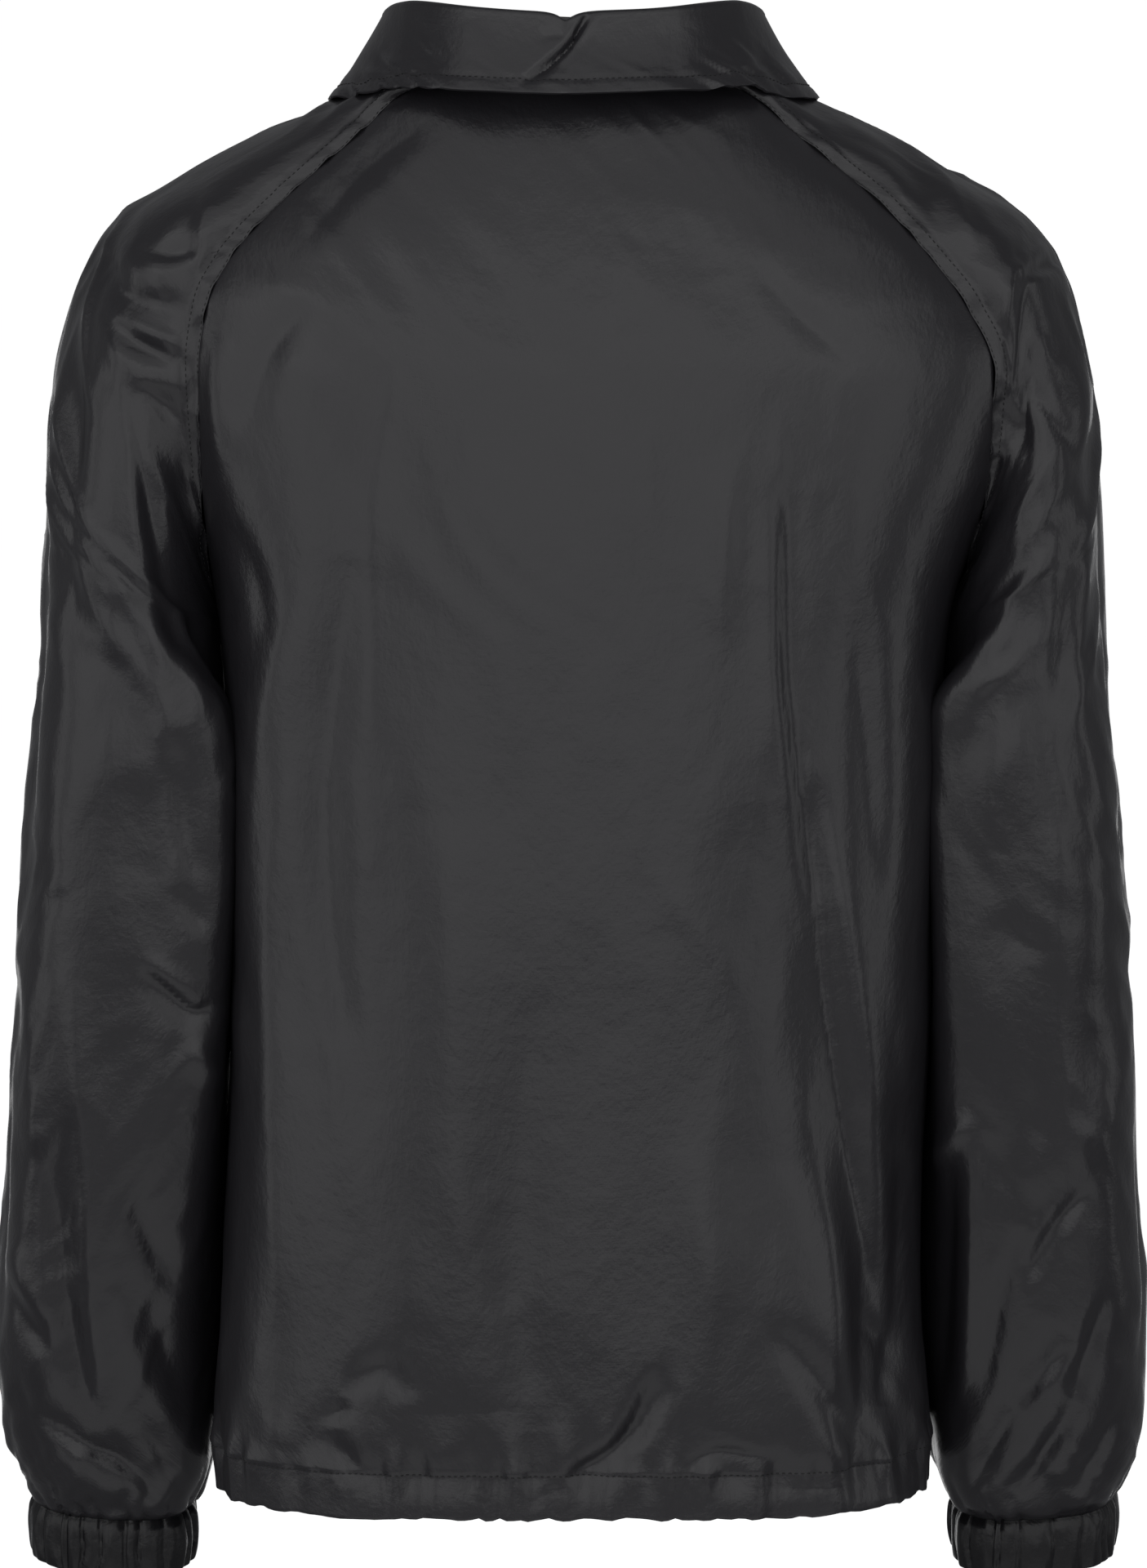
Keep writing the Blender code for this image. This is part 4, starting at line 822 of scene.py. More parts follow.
def sleeve_grid(side):
    """A sleeve's points: a row per section from neck to cuff, from the back over the top to the front.

    A section's half goes from its outermost point to the seam, or to the sleeve's inner side below the
    underarm, along an ellipse that is cut off there. It gets squarer as the sleeve hangs free of the armhole,
    and its inner side wraps round the torso's side.
    """
    way = np.linspace(1, 0, UNDERARM_ROWS)
    top = read_table(SHOULDER, way)
    column = 0 if side > 0 else 1
    seams = [read_table(table, way)[:, [column, 2, 3]] for table in (BACK_SEAM, FRONT_SEAM)]
    heights = np.concatenate([np.arange(SLEEVE_RINGS[-1, 0], SLEEVE_END_ZONE, -SLEEVE_PITCH),
                              np.linspace(SLEEVE_END_ZONE, SLEEVE_RINGS[0, 0], SLEEVE_END_ROWS)])
    lower = read_table(SLEEVE_RINGS, heights)
    torso = read_table(TORSO_RINGS, np.clip(heights, TORSO_RINGS[0, 0], TORSO_RINGS[-1, 0]))
    inner_x = torso[:, column] + lower[:, 0]
    wrapped = (ease((TORSO_RINGS[-1, 0] - heights) / HUG_START)
               * ease((heights - HUG_END[0]) / (HUG_END[1] - HUG_END[0])))
    above = 0 * way[:-1]
    hug = np.concatenate([above, wrapped])[:, None]
    ring_width = np.concatenate([above, torso[:, column]])[:, None]
    ring_depth = np.concatenate([above + 1, torso[:, 2]])[:, None]
    outer = np.vstack([top[:-1, :3], np.stack([lower[:, 1], lower[:, 3], lower[:, 2]], axis=1)])
    slope = np.concatenate([above, lower[:, 5]])[:, None]
    flatness = np.concatenate([above, ease((TORSO_RINGS[-1, 0] - heights) / 0.10)])[:, None]
    flatness = 1 + (SLEEVE_FLATNESS - 1) * flatness
    halves = []
    behind_and_front = ((seams[0], 1, top[:, 3], SLEEVE_HUG[0], BACK_SQUARENESS[1]),
                        (seams[1], -1, top[:, 4], SLEEVE_HUG[1], FRONT_SQUARENESS))
    for seam, sign, depth, closeness, squareness in behind_and_front:
        inner = np.vstack([seam[:-1], np.stack([inner_x, lower[:, 3], heights], axis=1)])
        half_depth = np.concatenate([depth[:-1], lower[:, 4]])
        reach = sign * (inner[:, 1] - outer[:, 1])
        half_depth = np.maximum(half_depth, reach * 1.0005)
        end = (np.pi - np.arcsin(np.clip(reach / half_depth, 0, 1) ** (1 / flatness[:, 0])))[:, None]
        angle = end * np.linspace(1, 0, SLEEVE_FINE_COLUMNS)
        far = power(np.cos(end), flatness)
        along = (power(np.cos(angle), flatness) - far) / (1 - far)
        x = inner[:, :1] + (outer[:, :1] - inner[:, :1]) * along
        bulge = sign * half_depth[:, None] * np.abs(np.sin(angle)) ** flatness
        y = outer[:, 1:2] + bulge
        z = inner[:, 2:] + (outer[:, 2:] - inner[:, 2:]) * along + slope * bulge
        part = np.clip(np.abs(y) / ring_depth, 0, 1) ** squareness
        fall = ring_width * (1 - (1 - part) ** (1 / squareness))
        x = x - hug * closeness * fall * (1 - along) ** 2
        halves.append(np.stack([side * x, y, z], axis=-1))
    return np.concatenate([halves[0], halves[1][:, -2::-1]], axis=1)


def carry_on(grid, edge, neighbour):
    """A sleeve that leaves its seam in the direction of the panel beside it, and bends back to its section.

    Near the seam each point moves by the difference of the two directions times d exp(-d / reach), where d is
    its distance from the seam.
    """
    count = len(neighbour)
    own = grid[:count, 1] - grid[:count, 0] if edge == "first" else grid[:count, -2] - grid[:count, -1]
    turn = (neighbour / np.linalg.norm(neighbour, axis=1, keepdims=True)
            - own / np.linalg.norm(own, axis=1, keepdims=True))
    away = seam_distance(grid, edge)[:count]
    share = CARRY_SHARE * ease(np.arange(count) / 12) * ease((count - 1 - np.arange(count)) / 22)
    moved = grid.copy()
    moved[:count] += turn[:, None] * (share[:, None] * away * np.exp(-away / CARRY_REACH))[..., None]
    return moved


def gather_lobes(turn, seed):
    """Height from 0 to 1 of gathered cloth by the part of the way round: uneven lobes with sharp valleys.

    Each lobe is half a sine wave, leaning to one side and raised to a power that makes it rounder.
    """
    rng = np.random.default_rng(seed)
    ends = np.cumsum(rng.uniform(0.5, 1.5, GATHERS) ** 2)
    starts = np.concatenate([[0], ends[:-1]]) / ends[-1]
    ends = ends / ends[-1]
    tall = rng.uniform(0.35, 1.0, GATHERS)
    turn = np.mod(turn, 1)
    lobe = np.clip(np.searchsorted(ends, turn), 0, GATHERS - 1)
    part = (turn - starts[lobe]) / (ends[lobe] - starts[lobe])
    lean = rng.uniform(0.6, 1.7, GATHERS)[lobe]
    return tall[lobe] * np.sin(np.pi * np.clip(part, 0, 1) ** lean) ** GATHER_ROUNDNESS


def sleeve_shape(grid, folds, seed):
    """A sleeve's outer points with folds, seam puckers and the gathers above its cuff, and its normals."""
    closed = UNDERARM_ROWS - 1
    normals = grid_normals(grid, grid.mean(axis=1, keepdims=True), closed_from=closed)
    height = crumples(grid, seed, 1.2) + crinkles(grid, seed + 3, SLEEVE_CRINKLE)
    for facing, lines in folds.items():
        height = height + FOLD_STRENGTH * fold_height(grid, normals, facing, lines)
    from_underarm = np.minimum(seam_distance(grid, "first"), seam_distance(grid, "last"))
    below = (np.arange(len(grid)) >= closed)[:, None]
    height = height * np.where(below, 0.3 + 0.7 * ease(from_underarm / 0.03), 1)
    across, down = run_along(grid, 1), run_along(grid, 0)
    turn = across / across[:, -1:]
    armhole = ease((closed - np.arange(len(grid))) / 10)[:, None]
    sewn = np.zeros(height.shape)
    beside = np.ones(height.shape)
    for edge, way_down, number in (("first", down[:, :1], 1), ("last", down[:, -1:], 2)):
        distance = seam_distance(grid, edge)
        beside = beside * ease(distance / SEAM_FADE)
        pucker = (soft_noise(way_down + 0 * distance, distance, (0.0072, 0.013), seed + 4 * number)
                  + 0.7 * soft_noise(way_down + 0 * distance, distance, (0.0150, 0.020), seed + 5 * number))
        between = SECOND_STITCHES * EDGE_PITCH
        band = np.exp(-((distance - between / 2) / (0.75 * between)) ** 2)
        grooves = sum(np.exp(-((distance - line * EDGE_PITCH) / 0.0013) ** 2) * deep
                      for line, deep in ((FIRST_STITCHES, 1.0), (SECOND_STITCHES, 0.8)))
        sewn = (sewn + SEAM_PUCKER * pucker * band - STITCH_GROOVE * grooves
                + ALLOWANCE_STEP * (distance < between))
        sewn = sewn - SEAM_DIP * 0.6 * np.exp(-(distance / 0.0012) ** 2)
    height = height * (1 - armhole * (1 - (0.12 + 0.88 * beside))) + sewn * armhole
    height = height * ease(seam_distance(grid, "top") / SEAM_FADE)
    above_cuff = seam_distance(grid, "bottom")
    slant = 0.012 * soft_noise(0 * turn, above_cuff, (1.0, 0.012), seed + 7)
    fade = np.exp(-above_cuff / GATHER_REACH)
    height = height * ease(above_cuff / 0.012)
    lobes = gather_lobes(turn + slant, seed + 8) - 0.55
    height = height + GATHER_HEIGHT * lobes * fade * ease(above_cuff / 0.004)
    height = height - CUFF_SEAM_DIP * np.exp(-(above_cuff / 0.0028) ** 2)
    return grid + normals * height[..., None], normals


SLEEVES = (("sleeve_left", 1, LEFT_SLEEVE_FOLDS, 61), ("sleeve_right", -1, RIGHT_SLEEVE_FOLDS, 81))
for name, side, folds, seed in SLEEVES:
    behind = panels["back"][0][:UNDERARM_ROWS]
    front = panels[name.replace("sleeve", "front")][0][:UNDERARM_ROWS]
    grid = lay_columns(sleeve_grid(side), SLEEVE_COLUMNS)
    grid = carry_on(grid, "first", behind[:, -1] - behind[:, -3] if side > 0 else behind[:, 0] - behind[:, 2])
    grid = carry_on(grid, "last", front[:, -1] - front[:, -3])
    panels[name] = sleeve_shape(grid, folds, seed)
    piece = cloth_object(name + "_panel", *panels[name], nylon, closed_from=UNDERARM_ROWS - 1)
    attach(piece, "root")
    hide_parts(name)


# The cuffs: bands of the same nylon folded over elastic, which draws them up into uneven gathers.
# They are sewn to the sleeves' ends, so they carry on from the sleeves' last sections.
CUFF_HEIGHT = 0.0265
CUFF_ROUND = 0.244         # length of the drawn-up band round the wrist
CUFF_COLUMNS = 320
CUFF_ROWS = 20
CUFF_TURNED_ROWS = 14      # rows of the band's inner layer behind its lower edge
CUFF_ROLL = 0.0011         # radius of that edge
CUFF_LOBE = 0.0044         # height of the gathers in the band
CUFF_PUCKER = 0.00045      # height of the fine puckers between them
CUFF_SWELL = 0.0014        # how far the band swells out between its seam and its edge
BAND_SEAM_DIP = 0.0012     # how far it draws in at its seam
CUFF_TUCKS = ((0.0010, 0.0030), (0.0008, 0.0010))   # how far its top lies inside the sleeve, and how high

# The cuffs' copy of the nylon has a darker colour than the back's and the sleeves': painted shade, standing
# for the shade that falls in the band's deep gathers.
cuff_nylon_painted_shade = nylon_finish("gathered_nylon_painted_shade", (0.0050, 0.0049, 0.0058), (0.0090, 0.0087, 0.0100),
                             roughness=0.30, crinkle=0.00032, gloss=0.34)

for name, side, seed in (("cuff_left", 1, 61), ("cuff_right", -1, 81)):
    ring = sleeve_grid(side)[-1:]
    run = run_along(ring, 1)[0]
    even = np.linspace(0, run[-1], CUFF_COLUMNS + 1)
    ring = np.stack([np.interp(even, run, ring[0, :, axis]) for axis in range(3)], axis=1)
    ahead = np.roll(ring[:-1], -1, axis=0) - np.roll(ring[:-1], 1, axis=0)
    out = np.stack([ahead[:, 1], -ahead[:, 0], 0 * ahead[:, 0]], axis=1)
    out /= np.linalg.norm(out, axis=1, keepdims=True)
    out *= np.sign(np.sum(out * (ring[:-1] - ring[:-1].mean(axis=0))))
    out = np.vstack([out, out[:1]])
    down = np.linspace(0, 1, CUFF_ROWS)[:, None]
    turn = np.linspace(0, 1, CUFF_COLUMNS + 1)[None, :] + 0 * down
    slant = 0.010 * soft_noise(turn * 3, down + 0 * turn, (0.3, 0.5), seed + 9)
    lobes = gather_lobes(turn + slant, seed + 8) - 0.45
    small = soft_noise(turn * CUFF_ROUND, down * CUFF_HEIGHT, (0.0032, 0.012), seed + 10)
    full = np.sin(np.pi * np.clip(0.08 + 0.86 * down, 0, 1)) ** 0.6
    height = (CUFF_SWELL * full + CUFF_LOBE * lobes * (0.45 + 0.55 * full) + CUFF_PUCKER * small
              - BAND_SEAM_DIP * np.exp(-(down * CUFF_HEIGHT / 0.0022) ** 2))
    height[:, -1] = height[:, 0]
    drop = np.array([0.0, 0.0, -CUFF_HEIGHT])
    points = ring[None] + drop * down[..., None] + out[None] * height[..., None]
    normals = grid_normals(points, points.mean(axis=1, keepdims=True), closed_from=0)
    hidden = [points[:1] - out[None] * deep + [0, 0, high] for deep, high in CUFF_TUCKS]
    folded_band = turn_in(points, np.broadcast_to(out, points.shape), CUFF_TURNED_ROWS, CUFF_ROLL)
    turned = np.concatenate(hidden + [folded_band])
    piece = cloth_object(name + "_band", turned, normals, cuff_nylon_painted_shade, closed_from=0)
    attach(piece, "root")
    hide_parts(name)


# The collar: a stand sewn to the neck seam, and a leaf that rolls over the stand's top and turns down, both
# of two layers of the same nylon. The leaf is topstitched along its edge, and has buckled in a sharp crease
# at the middle of the back.
COLLAR_COLUMNS = 300
COLLAR_CROWDING = 1.35     # exponent that crowds its columns towards the centre back, where it is creased
STAND_ROWS = 16
STAND_LIFT = 0.0006        # height of the stand's foot over the neck seam
STAND_TUCK = (0.0010, 0.0030)  # how far the stand's foot reaches inside the neck seam, and how far below it
LEAF_ROLL_ROWS = 9
LEAF_ROWS = 30
COLLAR_WALL = 0.0013       # thickness of the two layers
LEAF_CLEAR = 0.0025        # gap between the stand and the leaf at the fold
CAD_WALL = 0.0016          # thickness of the solids' walls
LEAF_BOW = -0.002          # how far the leaf bulges out between its fold and its edge, here inwards
COLLAR_OPENING = 0.0030    # between the collar's ends at the centre front
LEAF_STITCHES = 0.0082     # from the leaf's edge to its topstitching
LEAF_LIES = 0.0022         # height of the leaf's outer side above the shoulder where its edge lies on it
LEAF_PUCKER = 0.0020       # height of the puckers along its topstitching
LEAF_GROOVE = 0.00045      # depth of the groove along its topstitching
LEAF_SWELL = 0.0005        # unevenness of its outer side
NOTCH_DEPTH = 0.0058       # depth, x, width and rounding of the notch that the crease makes in the fold
NOTCH_PLACE = 0.004
NOTCH_WIDTH = 0.0042
NOTCH_CREST = 0.0008

# way round from the centre back to the centre front, fold x, y, z, leaf's edge x, y, z
COLLAR = np.array([
    (0.00, 0.0000, 0.0860, 0.0335, 0.0000, 0.1060, -0.0070),
    (0.18, 0.0460, 0.0780, 0.0365, 0.0530, 0.0970, -0.0050),
    (0.34, 0.0820, 0.0480, 0.0415, 0.0980, 0.0640, -0.0010),
    (0.50, 0.0940, 0.0060, 0.0385, 0.1235, 0.0120, -0.0022),
    (0.66, 0.0880, -0.0380, 0.0260, 0.1230, -0.0480, -0.0115),
    (0.82, 0.0540, -0.0720, 0.0060, 0.0890, -0.0900, -0.0420),
    (1.00, 0.0015, -0.0860, -0.0120, 0.0340, -0.1090, -0.0780),
])

# Folds of the leaf seen from behind: the line's points (x, z), width on its left and right, height
LEAF_FOLDS = [
    ([(-0.0070, 0.0330), (-0.0020, 0.0240), (0.0030, 0.0170), (0.0130, 0.0080), (0.0230, 0.0010)],
     0.0013, 0.0034, -0.0052),
    ([(-0.0100, 0.0310), (-0.0050, 0.0230), (0.0010, 0.0150), (0.0110, 0.0060)], 0.0030, 0.0018, 0.0020),
    ([(0.0160, 0.0200), (0.0100, 0.0224), (0.0050, 0.0220)], 0.0022, 0.0030, -0.0010),
    ([(0.0900, 0.0120), (0.0800, 0.0040), (0.0720, 0.0000)], 0.0030, 0.0040, -0.0012),
    ([(0.0760, 0.0100), (0.0700, 0.0040), (0.0640, 0.0010)], 0.0030, 0.0026, 0.0010),
    ([(-0.0960, 0.0140), (-0.0900, 0.0060), (-0.0860, 0.0010)], 0.0030, 0.0040, -0.0012),
    ([(-0.0820, 0.0110), (-0.0780, 0.0050), (-0.0720, 0.0020)], 0.0026, 0.0030, 0.0010),
    ([(0.0500, 0.0300), (0.0460, 0.0140), (0.0480, 0.0020)], 0.0120, 0.0080, 0.0008),
    ([(-0.0520, 0.0300), (-0.0480, 0.0160), (-0.0520, 0.0030)], 0.0080, 0.0120, -0.0009),
]

neck = np.vstack([panels["front_right"][0][0], panels["sleeve_right"][0][0, ::-1], panels["back"][0][0],
                  panels["sleeve_left"][0][0], panels["front_left"][0][0, ::-1]])
beyond_opening = np.concatenate([panels["front_right"][0][0, :, 0] < -COLLAR_OPENING / 2,
                                 np.ones(len(neck) - 2 * FRONT_COLUMNS, bool),
                                 panels["front_left"][0][0, ::-1, 0] > COLLAR_OPENING / 2])
neck = neck[beyond_opening]
length = np.concatenate([[0], np.cumsum(np.linalg.norm(np.diff(neck, axis=0), axis=1))])
signed = power(np.linspace(-1, 1, COLLAR_COLUMNS + 1), COLLAR_CROWDING)
places = (signed + 1) / 2 * length[-1]
neck = np.stack([np.interp(places, length, neck[:, axis]) for axis in range(3)], axis=1)
line = read_table(COLLAR, np.abs(signed))
mirror = np.stack([np.where(signed < 0, -1.0, 1.0), 1 + 0 * signed, 1 + 0 * signed], axis=1)
fold, edge = line[:, :3] * mirror, line[:, 3:] * mirror
ahead = np.gradient(fold, axis=0)
out = np.stack([ahead[:, 1], -ahead[:, 0], 0 * signed], axis=1)
out /= np.linalg.norm(out, axis=1, keepdims=True)
out *= np.sign(np.sum(out * fold, axis=1).sum())
up = np.array([0.0, 0.0, 1.0])
roll = CAD_WALL + LEAF_CLEAR / 2
middle = fold - up * roll
top = middle - out * (roll - CAD_WALL)
base = neck + up * STAND_LIFT
steps = np.linspace(0, 1, STAND_ROWS)[:, None, None]
foot = base - out * STAND_TUCK[0] - up * STAND_TUCK[1]
stand = np.concatenate([foot[None], base + (top - base) * steps])
outward = np.broadcast_to(out, stand.shape)
stand_piece = cloth_object("collar_stand_band", stand, outward, nylon, wall=COLLAR_WALL)
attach(stand_piece, "root")
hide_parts("collar_stand")

turns = np.radians(np.linspace(180, 0, LEAF_ROLL_ROWS))
facing = [out * np.cos(angle) + up * np.sin(angle) for angle in turns]
turned = [middle + roll * ray for ray in facing]
hanging = [turned[-1] + (edge - turned[-1]) * step + out * LEAF_BOW * np.sin(np.pi * step)
           for step in np.linspace(0, 1, LEAF_ROWS + 1)[1:]]
leaf = np.stack(turned + hanging)
shoulder_faces = grid_faces(np.arange(UNDERARM_ROWS * SLEEVE_COLUMNS).reshape(UNDERARM_ROWS, -1)).tolist()
for name in ("sleeve_left", "sleeve_right"):
    shoulder = BVHTree.FromPolygons(panels[name][0][:UNDERARM_ROWS].reshape(-1, 3).tolist(), shoulder_faces)
    gaps = []
    for place in edge:
        hit = shoulder.ray_cast(Vector(place) + Vector((0, 0, 0.03)), (0, 0, -1))[0]
        gaps.append(place[2] - hit[2] - LEAF_LIES if hit else 0.0)
    gaps = np.array(gaps) * ease((0.020 - np.abs(gaps)) / 0.006)
    gaps = np.convolve(np.pad(gaps, 6, mode="edge"), np.ones(13) / 13, mode="valid")
    way_down = np.linspace(0, 1, LEAF_ROWS + 1)[1:, None]
    leaf[LEAF_ROLL_ROWS:, :, 2] -= gaps * way_down**2
leaf_normals = grid_normals(leaf, leaf)
leaf_normals *= np.sign(np.sum(leaf_normals[-1] * out))
leaf_normals[:LEAF_ROLL_ROWS] = np.stack(facing)
along, from_fold = run_along(leaf, 1), run_along(leaf, 0)
from_edge = from_fold[-1] - from_fold
narrow_puckers = soft_noise(along, from_edge, (0.0065, 0.012), 91)
pucker = narrow_puckers + 0.6 * soft_noise(along, from_edge, (0.013, 0.03), 92)
ends = 0.12 + 0.88 * ease((np.abs(leaf[..., 0]) - 0.055) / 0.03) * ease((leaf[..., 1] - 0.020) / 0.03)
leaf_height = (fold_height(leaf, leaf_normals, (0, 1, 0), LEAF_FOLDS)
               + LEAF_PUCKER * pucker * ends * ease(1.6 - from_edge / 0.020)
               - LEAF_GROOVE * np.exp(-((from_edge - LEAF_STITCHES) / 0.0013) ** 2)
               + LEAF_SWELL * soft_noise(along, from_edge, (0.030, 0.030), 93))
leaf_height *= ease(from_fold / 0.006 + 0.25)
leaf = leaf + leaf_normals * leaf_height[..., None]
notch = NOTCH_DEPTH * np.exp(-np.hypot(leaf[..., 0] - NOTCH_PLACE, NOTCH_CREST) / NOTCH_WIDTH)
leaf[..., 2] -= notch * ease(1 - from_fold / 0.022) * (leaf[..., 1] > 0)
leaf_piece = cloth_object("collar_leaf_panel", leaf, leaf_normals, nylon, wall=COLLAR_WALL)
edge_round = leaf_piece.modifiers.new("rounded edges", "BEVEL")
edge_round.width = 0.0004
edge_round.segments = 2
edge_round.limit_method = "ANGLE"
edge_round.angle_limit = np.radians(55)
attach(leaf_piece, "root")
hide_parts("collar_leaf")


# The topstitching: black polyester thread, sewn by machine through all layers along the raglan seams, the
# hem, the placket and the collar's edge. Each stitch stands out of the groove that it pulls in the cloth.
STITCH_LENGTH = 0.0023     # part of a stitch that shows
STITCH_PITCH = 0.0031      # from the start of one stitch to the next
THREAD_RADIUS = 0.00026
STATIONS = 5               # rings of points along a stitch
SIDES = 4                  # points in each ring


def on_cloth(panel, rows, columns):
    """Points and normals of a panel's grid at row and column numbers that may lie between its lines."""
    values = np.concatenate([panel[0], panel[1]], axis=-1)
    rows, columns = np.broadcast_arrays(np.asarray(rows, float), np.asarray(columns, float))
    row = np.clip(np.floor(rows).astype(int), 0, values.shape[0] - 2)
    column = np.clip(np.floor(columns).astype(int), 0, values.shape[1] - 2)
    down, across = (rows - row)[:, None], (columns - column)[:, None]
    mixed = ((values[row, column] * (1 - across) + values[row, column + 1] * across) * (1 - down)
             + (values[row + 1, column] * (1 - across) + values[row + 1, column + 1] * across) * down)
    return mixed[:, :3], mixed[:, 3:] / np.linalg.norm(mixed[:, 3:], axis=1, keepdims=True)


def sew(name, seams):
    """One object of stitches: each a thin thread that arches out of the cloth and sinks back into it.

    A seam is its points on the cloth and the normals there. Stitches lie along it a pitch apart.
    """
    angle = 2 * np.pi * np.arange(SIDES) / SIDES
    part = np.linspace(0, 1, STATIONS)
    arch = THREAD_RADIUS * (-1.3 + 2.0 * np.sqrt(np.clip(4 * part * (1 - part), 0, 1)))
    slim = 0.6 + 0.4 * np.sin(np.pi * part)
    rings = []
    for points, normals in seams:
        run = np.concatenate([[0], np.cumsum(np.linalg.norm(np.diff(points, axis=0), axis=1))])
        begin = np.arange(0.001, run[-1] - STITCH_LENGTH, STITCH_PITCH)
        at = begin[:, None] + STITCH_LENGTH * part
        centre = np.stack([np.interp(at, run, points[:, axis]) for axis in range(3)], axis=-1)
        lift = np.stack([np.interp(at, run, normals[:, axis]) for axis in range(3)], axis=-1)
        ahead = np.gradient(centre, axis=1)
        sideways = np.cross(ahead, lift)
        sideways /= np.linalg.norm(sideways, axis=-1, keepdims=True)
        centre = centre + lift * arch[:, None]
        ray = (lift[:, :, None] * np.cos(angle)[:, None] + sideways[:, :, None] * np.sin(angle)[:, None])
        rings.append(centre[:, :, None] + THREAD_RADIUS * slim[:, None, None] * ray)
    rings = np.concatenate(rings)
    grid = np.arange(rings.size // 3).reshape(-1, STATIONS, SIDES)
    beside = np.roll(grid, -1, axis=2)
    walls = np.stack([grid[:, :-1], beside[:, :-1], beside[:, 1:], grid[:, 1:]], axis=-1).reshape(-1, 4)
    faces = np.concatenate([walls, grid[:, 0, ::-1], grid[:, -1]])
    mesh = bpy.data.meshes.new(name)
    mesh.from_pydata(rings.reshape(-1, 3), [], faces)
    mesh.materials.append(thread)
    mesh.shade_smooth()
    piece = bpy.data.objects.new(name, mesh)
    bpy.context.scene.collection.objects.link(piece)
    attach(piece, "root")
    return piece


def thread_finish(name):
    """Black polyester thread, less glossy than the cloth, with its twist as a fine relief."""
    material = bpy.data.materials.new(name)
    material.use_nodes = True
    tree = material.node_tree
    shader = tree.nodes["Principled BSDF"]
    place = Value(tree).node("ShaderNodeTexCoord", output=3)
    twist = place.noise((3000.0, 3000.0, 3000.0), 2.0, 0.5)
    colour = twist.blend((0.004, 0.004, 0.0045), (0.012, 0.012, 0.013))
    tree.links.new(colour.socket, shader.inputs["Base Color"])
    tree.links.new((0.42 + twist * 0.2).socket, shader.inputs["Roughness"])
    bump = twist.node("ShaderNodeBump", {"Height": twist * 0.00005, "Strength": 1.0, "Distance": 1.0})
    tree.links.new(bump.socket, shader.inputs["Normal"])
    return material


thread = thread_finish("black_thread")
armhole_rows = np.arange(2, UNDERARM_ROWS - 6, 0.5)
raglan_lines = []
for name in ("sleeve_left", "sleeve_right"):
    for column in (FIRST_STITCHES, SECOND_STITCHES):
        raglan_lines.append(on_cloth(panels[name], armhole_rows, column))
        raglan_lines.append(on_cloth(panels[name], armhole_rows, SLEEVE_COLUMNS - 1 - column))
sew("raglan_stitches", raglan_lines)

stitch_level = TORSO_RINGS[0, 0] + HEM_HEIGHT
hem_lines = []
for name, count in (("back", BACK_COLUMNS), ("front_left", FRONT_COLUMNS), ("front_right", FRONT_COLUMNS)):
    points, normals = panels[name]
    level = points[:, count // 2, 2]
    row = np.interp(-stitch_level, -level[UNDERARM_ROWS:], np.arange(UNDERARM_ROWS, len(level)))
    hem_lines.append(on_cloth(panels[name], row, np.arange(1.0, count - 1, 0.5)))
sew("hem_stitches", hem_lines)

placket_run = run_along(panels["front_left"][0], 1)
placket_column = [np.interp(PLACKET_WIDTH, run, np.arange(len(run))) for run in placket_run]
placket_rows = np.arange(1, len(placket_run) - 1)
placket_line = on_cloth(panels["front_left"], placket_rows, np.array(placket_column)[placket_rows])
sew("placket_stitches", [placket_line])

leaf_run = run_along(leaf, 0)
edge_row = np.array([np.interp(leaf_run[-1, i] - LEAF_STITCHES, leaf_run[:, i], np.arange(len(leaf)))
                     for i in range(leaf.shape[1])])
LEAF_END_INSET = 3         # columns from the leaf's ends to the stitches there
last_column = leaf.shape[1] - 1 - LEAF_END_INSET
end_rows = np.arange(LEAF_ROLL_ROWS + 1, edge_row[LEAF_END_INSET], 0.5)
rows = np.concatenate([end_rows, edge_row[LEAF_END_INSET:last_column + 1], end_rows[::-1]])
columns = np.concatenate([0 * end_rows + LEAF_END_INSET, np.arange(LEAF_END_INSET, last_column + 1),
                          0 * end_rows + last_column])
sew("collar_stitches", [on_cloth((leaf, leaf_normals), rows, columns)])


# The press studs: five low domed metal caps, 13 mm wide and painted black, on the centre line of the left
# front. Each is clenched through the placket on its socket, which isn't seen.
SNAP_LEVELS = (-0.078, -0.218, -0.358, -0.498, -0.638)
SNAP_SIDES = 40
SNAP_CLEAR = 0.0003        # between the cloth and the cap's rim
# radius and height of the cap's outline, from its middle to its rim and under it
SNAP_OUTLINE = np.array([
    (0.0003, 0.00215), (0.0018, 0.00212), (0.0032, 0.00200), (0.0042, 0.00182),
    (0.0049, 0.00160), (0.0053, 0.00150), (0.0058, 0.00152), (0.0062, 0.00138),
    (0.0065, 0.00100), (0.0065, 0.00050), (0.0062, 0.00010), (0.0056, 0.00000),
])


def painted_finish(name):
    """Black paint on a metal cap, with faint scuffs."""
    material = bpy.data.materials.new(name)
    material.use_nodes = True
    tree = material.node_tree
    shader = tree.nodes["Principled BSDF"]
    place = Value(tree).node("ShaderNodeTexCoord", output=3)
    scuffs = place.noise((700.0, 700.0, 2400.0), 4.0, 0.65)
    colour = scuffs.blend((0.0075, 0.0075, 0.0082), (0.016, 0.016, 0.017))
    tree.links.new(colour.socket, shader.inputs["Base Color"])
    tree.links.new((0.26 + scuffs * 0.22).socket, shader.inputs["Roughness"])
    bump = scuffs.node("ShaderNodeBump", {"Height": scuffs * 0.00003, "Strength": 1.0, "Distance": 1.0})
    tree.links.new(bump.socket, shader.inputs["Normal"])
    return material


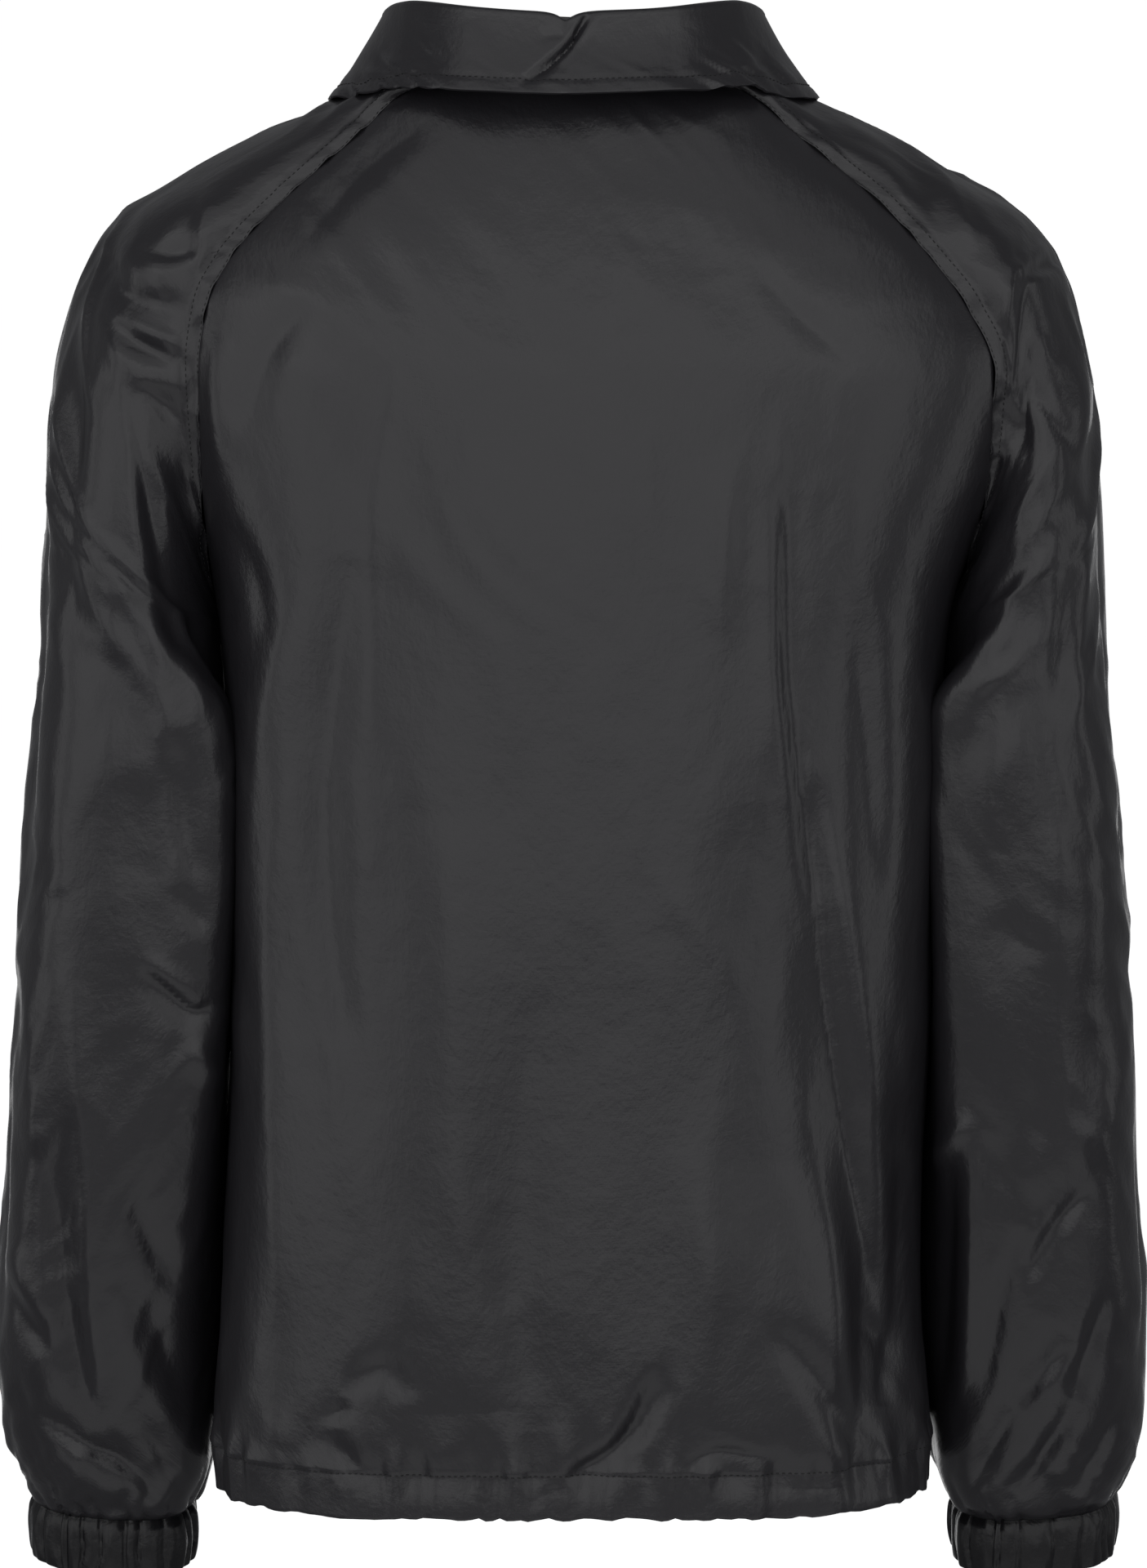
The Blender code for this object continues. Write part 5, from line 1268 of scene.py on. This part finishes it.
black_paint = painted_finish("black_paint")
front_cloth = BVHTree.FromObject(left_front, bpy.context.evaluated_depsgraph_get())
for number, level in enumerate(SNAP_LEVELS, 1):
    seat, outward, _, _ = front_cloth.ray_cast((0.0, -1.0, level), (0.0, 1.0, 0.0))
    outward = np.array(outward)
    side = np.cross([0, 0, 1.0], outward)
    side /= np.linalg.norm(side)
    above = np.cross(outward, side)
    angle = np.linspace(0, 2 * np.pi, SNAP_SIDES + 1)
    circle = np.cos(angle)[:, None] * side + np.sin(angle)[:, None] * above
    points = (np.array(seat) + outward * SNAP_CLEAR + SNAP_OUTLINE[:, 1, None, None] * outward
              + SNAP_OUTLINE[:, 0, None, None] * circle)
    top, under = [np.repeat(ring.mean(axis=1, keepdims=True), SNAP_SIDES + 1, axis=1)
                  for ring in (points[:1], points[-1:])]
    points = np.concatenate([top, points, under])
    normals = np.broadcast_to(outward, points.shape)
    cap = cloth_object(f"stud_cap_{number}", points, normals, black_paint, closed_from=0, wall=0)
    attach(cap, "root")
    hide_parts(f"snap_{number}")


# The setting: a white floor below the jacket and a white room, both lit by themselves. Five wide soft lights
# round the camera lie on the cloth as one even sheen. A weak one at each side and a low one on the far side
# draw the edges.
FLOOR_LEVEL = -1.45
ROOM_SIZE = 14.0           # radius of the room, and half of the floor's width
CAMERA_DISTANCE = 2.8
CAMERA_TILT = np.radians(4.2)
CAMERA_TARGET = np.array([0.0, 0.0, -0.35185])
CAMERA_LENS = 126.0        # focal length in mm, on a sensor 36 mm high


def pale_finish(name, grey, roughness, glow):
    """A plain surface that gives off white light of its own."""
    material = bpy.data.materials.new(name)
    material.use_nodes = True
    shader = material.node_tree.nodes["Principled BSDF"]
    shader.inputs["Base Color"].default_value = (grey, grey, grey, 1)
    shader.inputs["Roughness"].default_value = roughness
    shader.inputs["Emission Color"].default_value = (1, 1, 1, 1)
    shader.inputs["Emission Strength"].default_value = glow
    return material


floor_corners = [(x * ROOM_SIZE, y * ROOM_SIZE, FLOOR_LEVEL) for x, y in ((-1, -1), (1, -1), (1, 1), (-1, 1))]
floor_mesh = bpy.data.meshes.new("floor")
floor_mesh.from_pydata(floor_corners, [], [(0, 1, 2, 3)])
floor = bpy.data.objects.new("floor", floor_mesh)
bpy.context.scene.collection.objects.link(floor)
floor_mesh.materials.append(pale_finish("pale_floor", grey=0.86, roughness=0.9, glow=0.9))
floor.visible_glossy = False
floor.visible_diffuse = False
floor.visible_shadow = False

bpy.ops.mesh.primitive_uv_sphere_add(segments=48, ring_count=24, radius=ROOM_SIZE)
room = bpy.context.object
room.name = "room"
room.data.materials.append(pale_finish("pale_room", grey=0.0, roughness=0.5, glow=1.0))
room.visible_glossy = False
room.visible_diffuse = False
room.visible_shadow = False

world = bpy.data.worlds.new("soft surroundings")
world.use_nodes = True
world.node_tree.nodes["Background"].inputs["Color"].default_value = (0.96, 0.97, 1.0, 1)
world.node_tree.nodes["Background"].inputs["Strength"].default_value = 0.16
bpy.context.scene.world = world

# name, place, width and height, watts, aimed at
LIGHTS = (
    ("soft_middle", (0.0, 2.9, 0.28), (2.6, 3.0), 21, (0, 0, -0.40)),
    ("soft_left", (2.3, 2.1, 0.20), (2.3, 3.2), 19, (0, 0, -0.40)),
    ("soft_right", (-2.15, 2.3, 0.20), (1.7, 3.2), 13, (0, 0, -0.40)),
    ("soft_high", (0.2, 1.9, 2.3), (5.2, 2.4), 21, (0, 0, -0.20)),
    ("soft_low", (0.0, 1.9, -2.6), (4.4, 2.2), 14, (0, 0, -0.50)),
    ("side_left", (2.6, 0.3, -0.2), (1.0, 2.0), 4.5, (0, 0, -0.40)),
    ("side_right", (-2.6, 0.3, -0.2), (0.8, 2.0), 3.4, (0, 0, -0.40)),
    ("far_middle", (0.0, -3.0, -0.85), (2.6, 1.9), 14, (0, 0, -0.40)),
)
for name, place, size, watts, aim in LIGHTS:
    lamp = bpy.data.lights.new(name, "AREA")
    lamp.shape = "RECTANGLE"
    lamp.size, lamp.size_y = size
    lamp.energy = watts
    light = bpy.data.objects.new(name, lamp)
    light.location = place
    light.rotation_euler = (Vector(aim) - Vector(place)).to_track_quat("-Z", "Y").to_euler()
    bpy.context.scene.collection.objects.link(light)

lens = bpy.data.cameras.new("camera")
lens.sensor_fit = "VERTICAL"
lens.sensor_height = 36.0
lens.lens = CAMERA_LENS
camera = bpy.data.objects.new("camera", lens)
behind = np.array([0.0, np.cos(CAMERA_TILT), np.sin(CAMERA_TILT)])
camera.location = CAMERA_TARGET + CAMERA_DISTANCE * behind
camera.rotation_euler = Vector(-behind).to_track_quat("-Z", "Y").to_euler()
bpy.context.scene.collection.objects.link(camera)
bpy.context.scene.camera = camera
bpy.context.scene.view_settings.view_transform = "Standard"
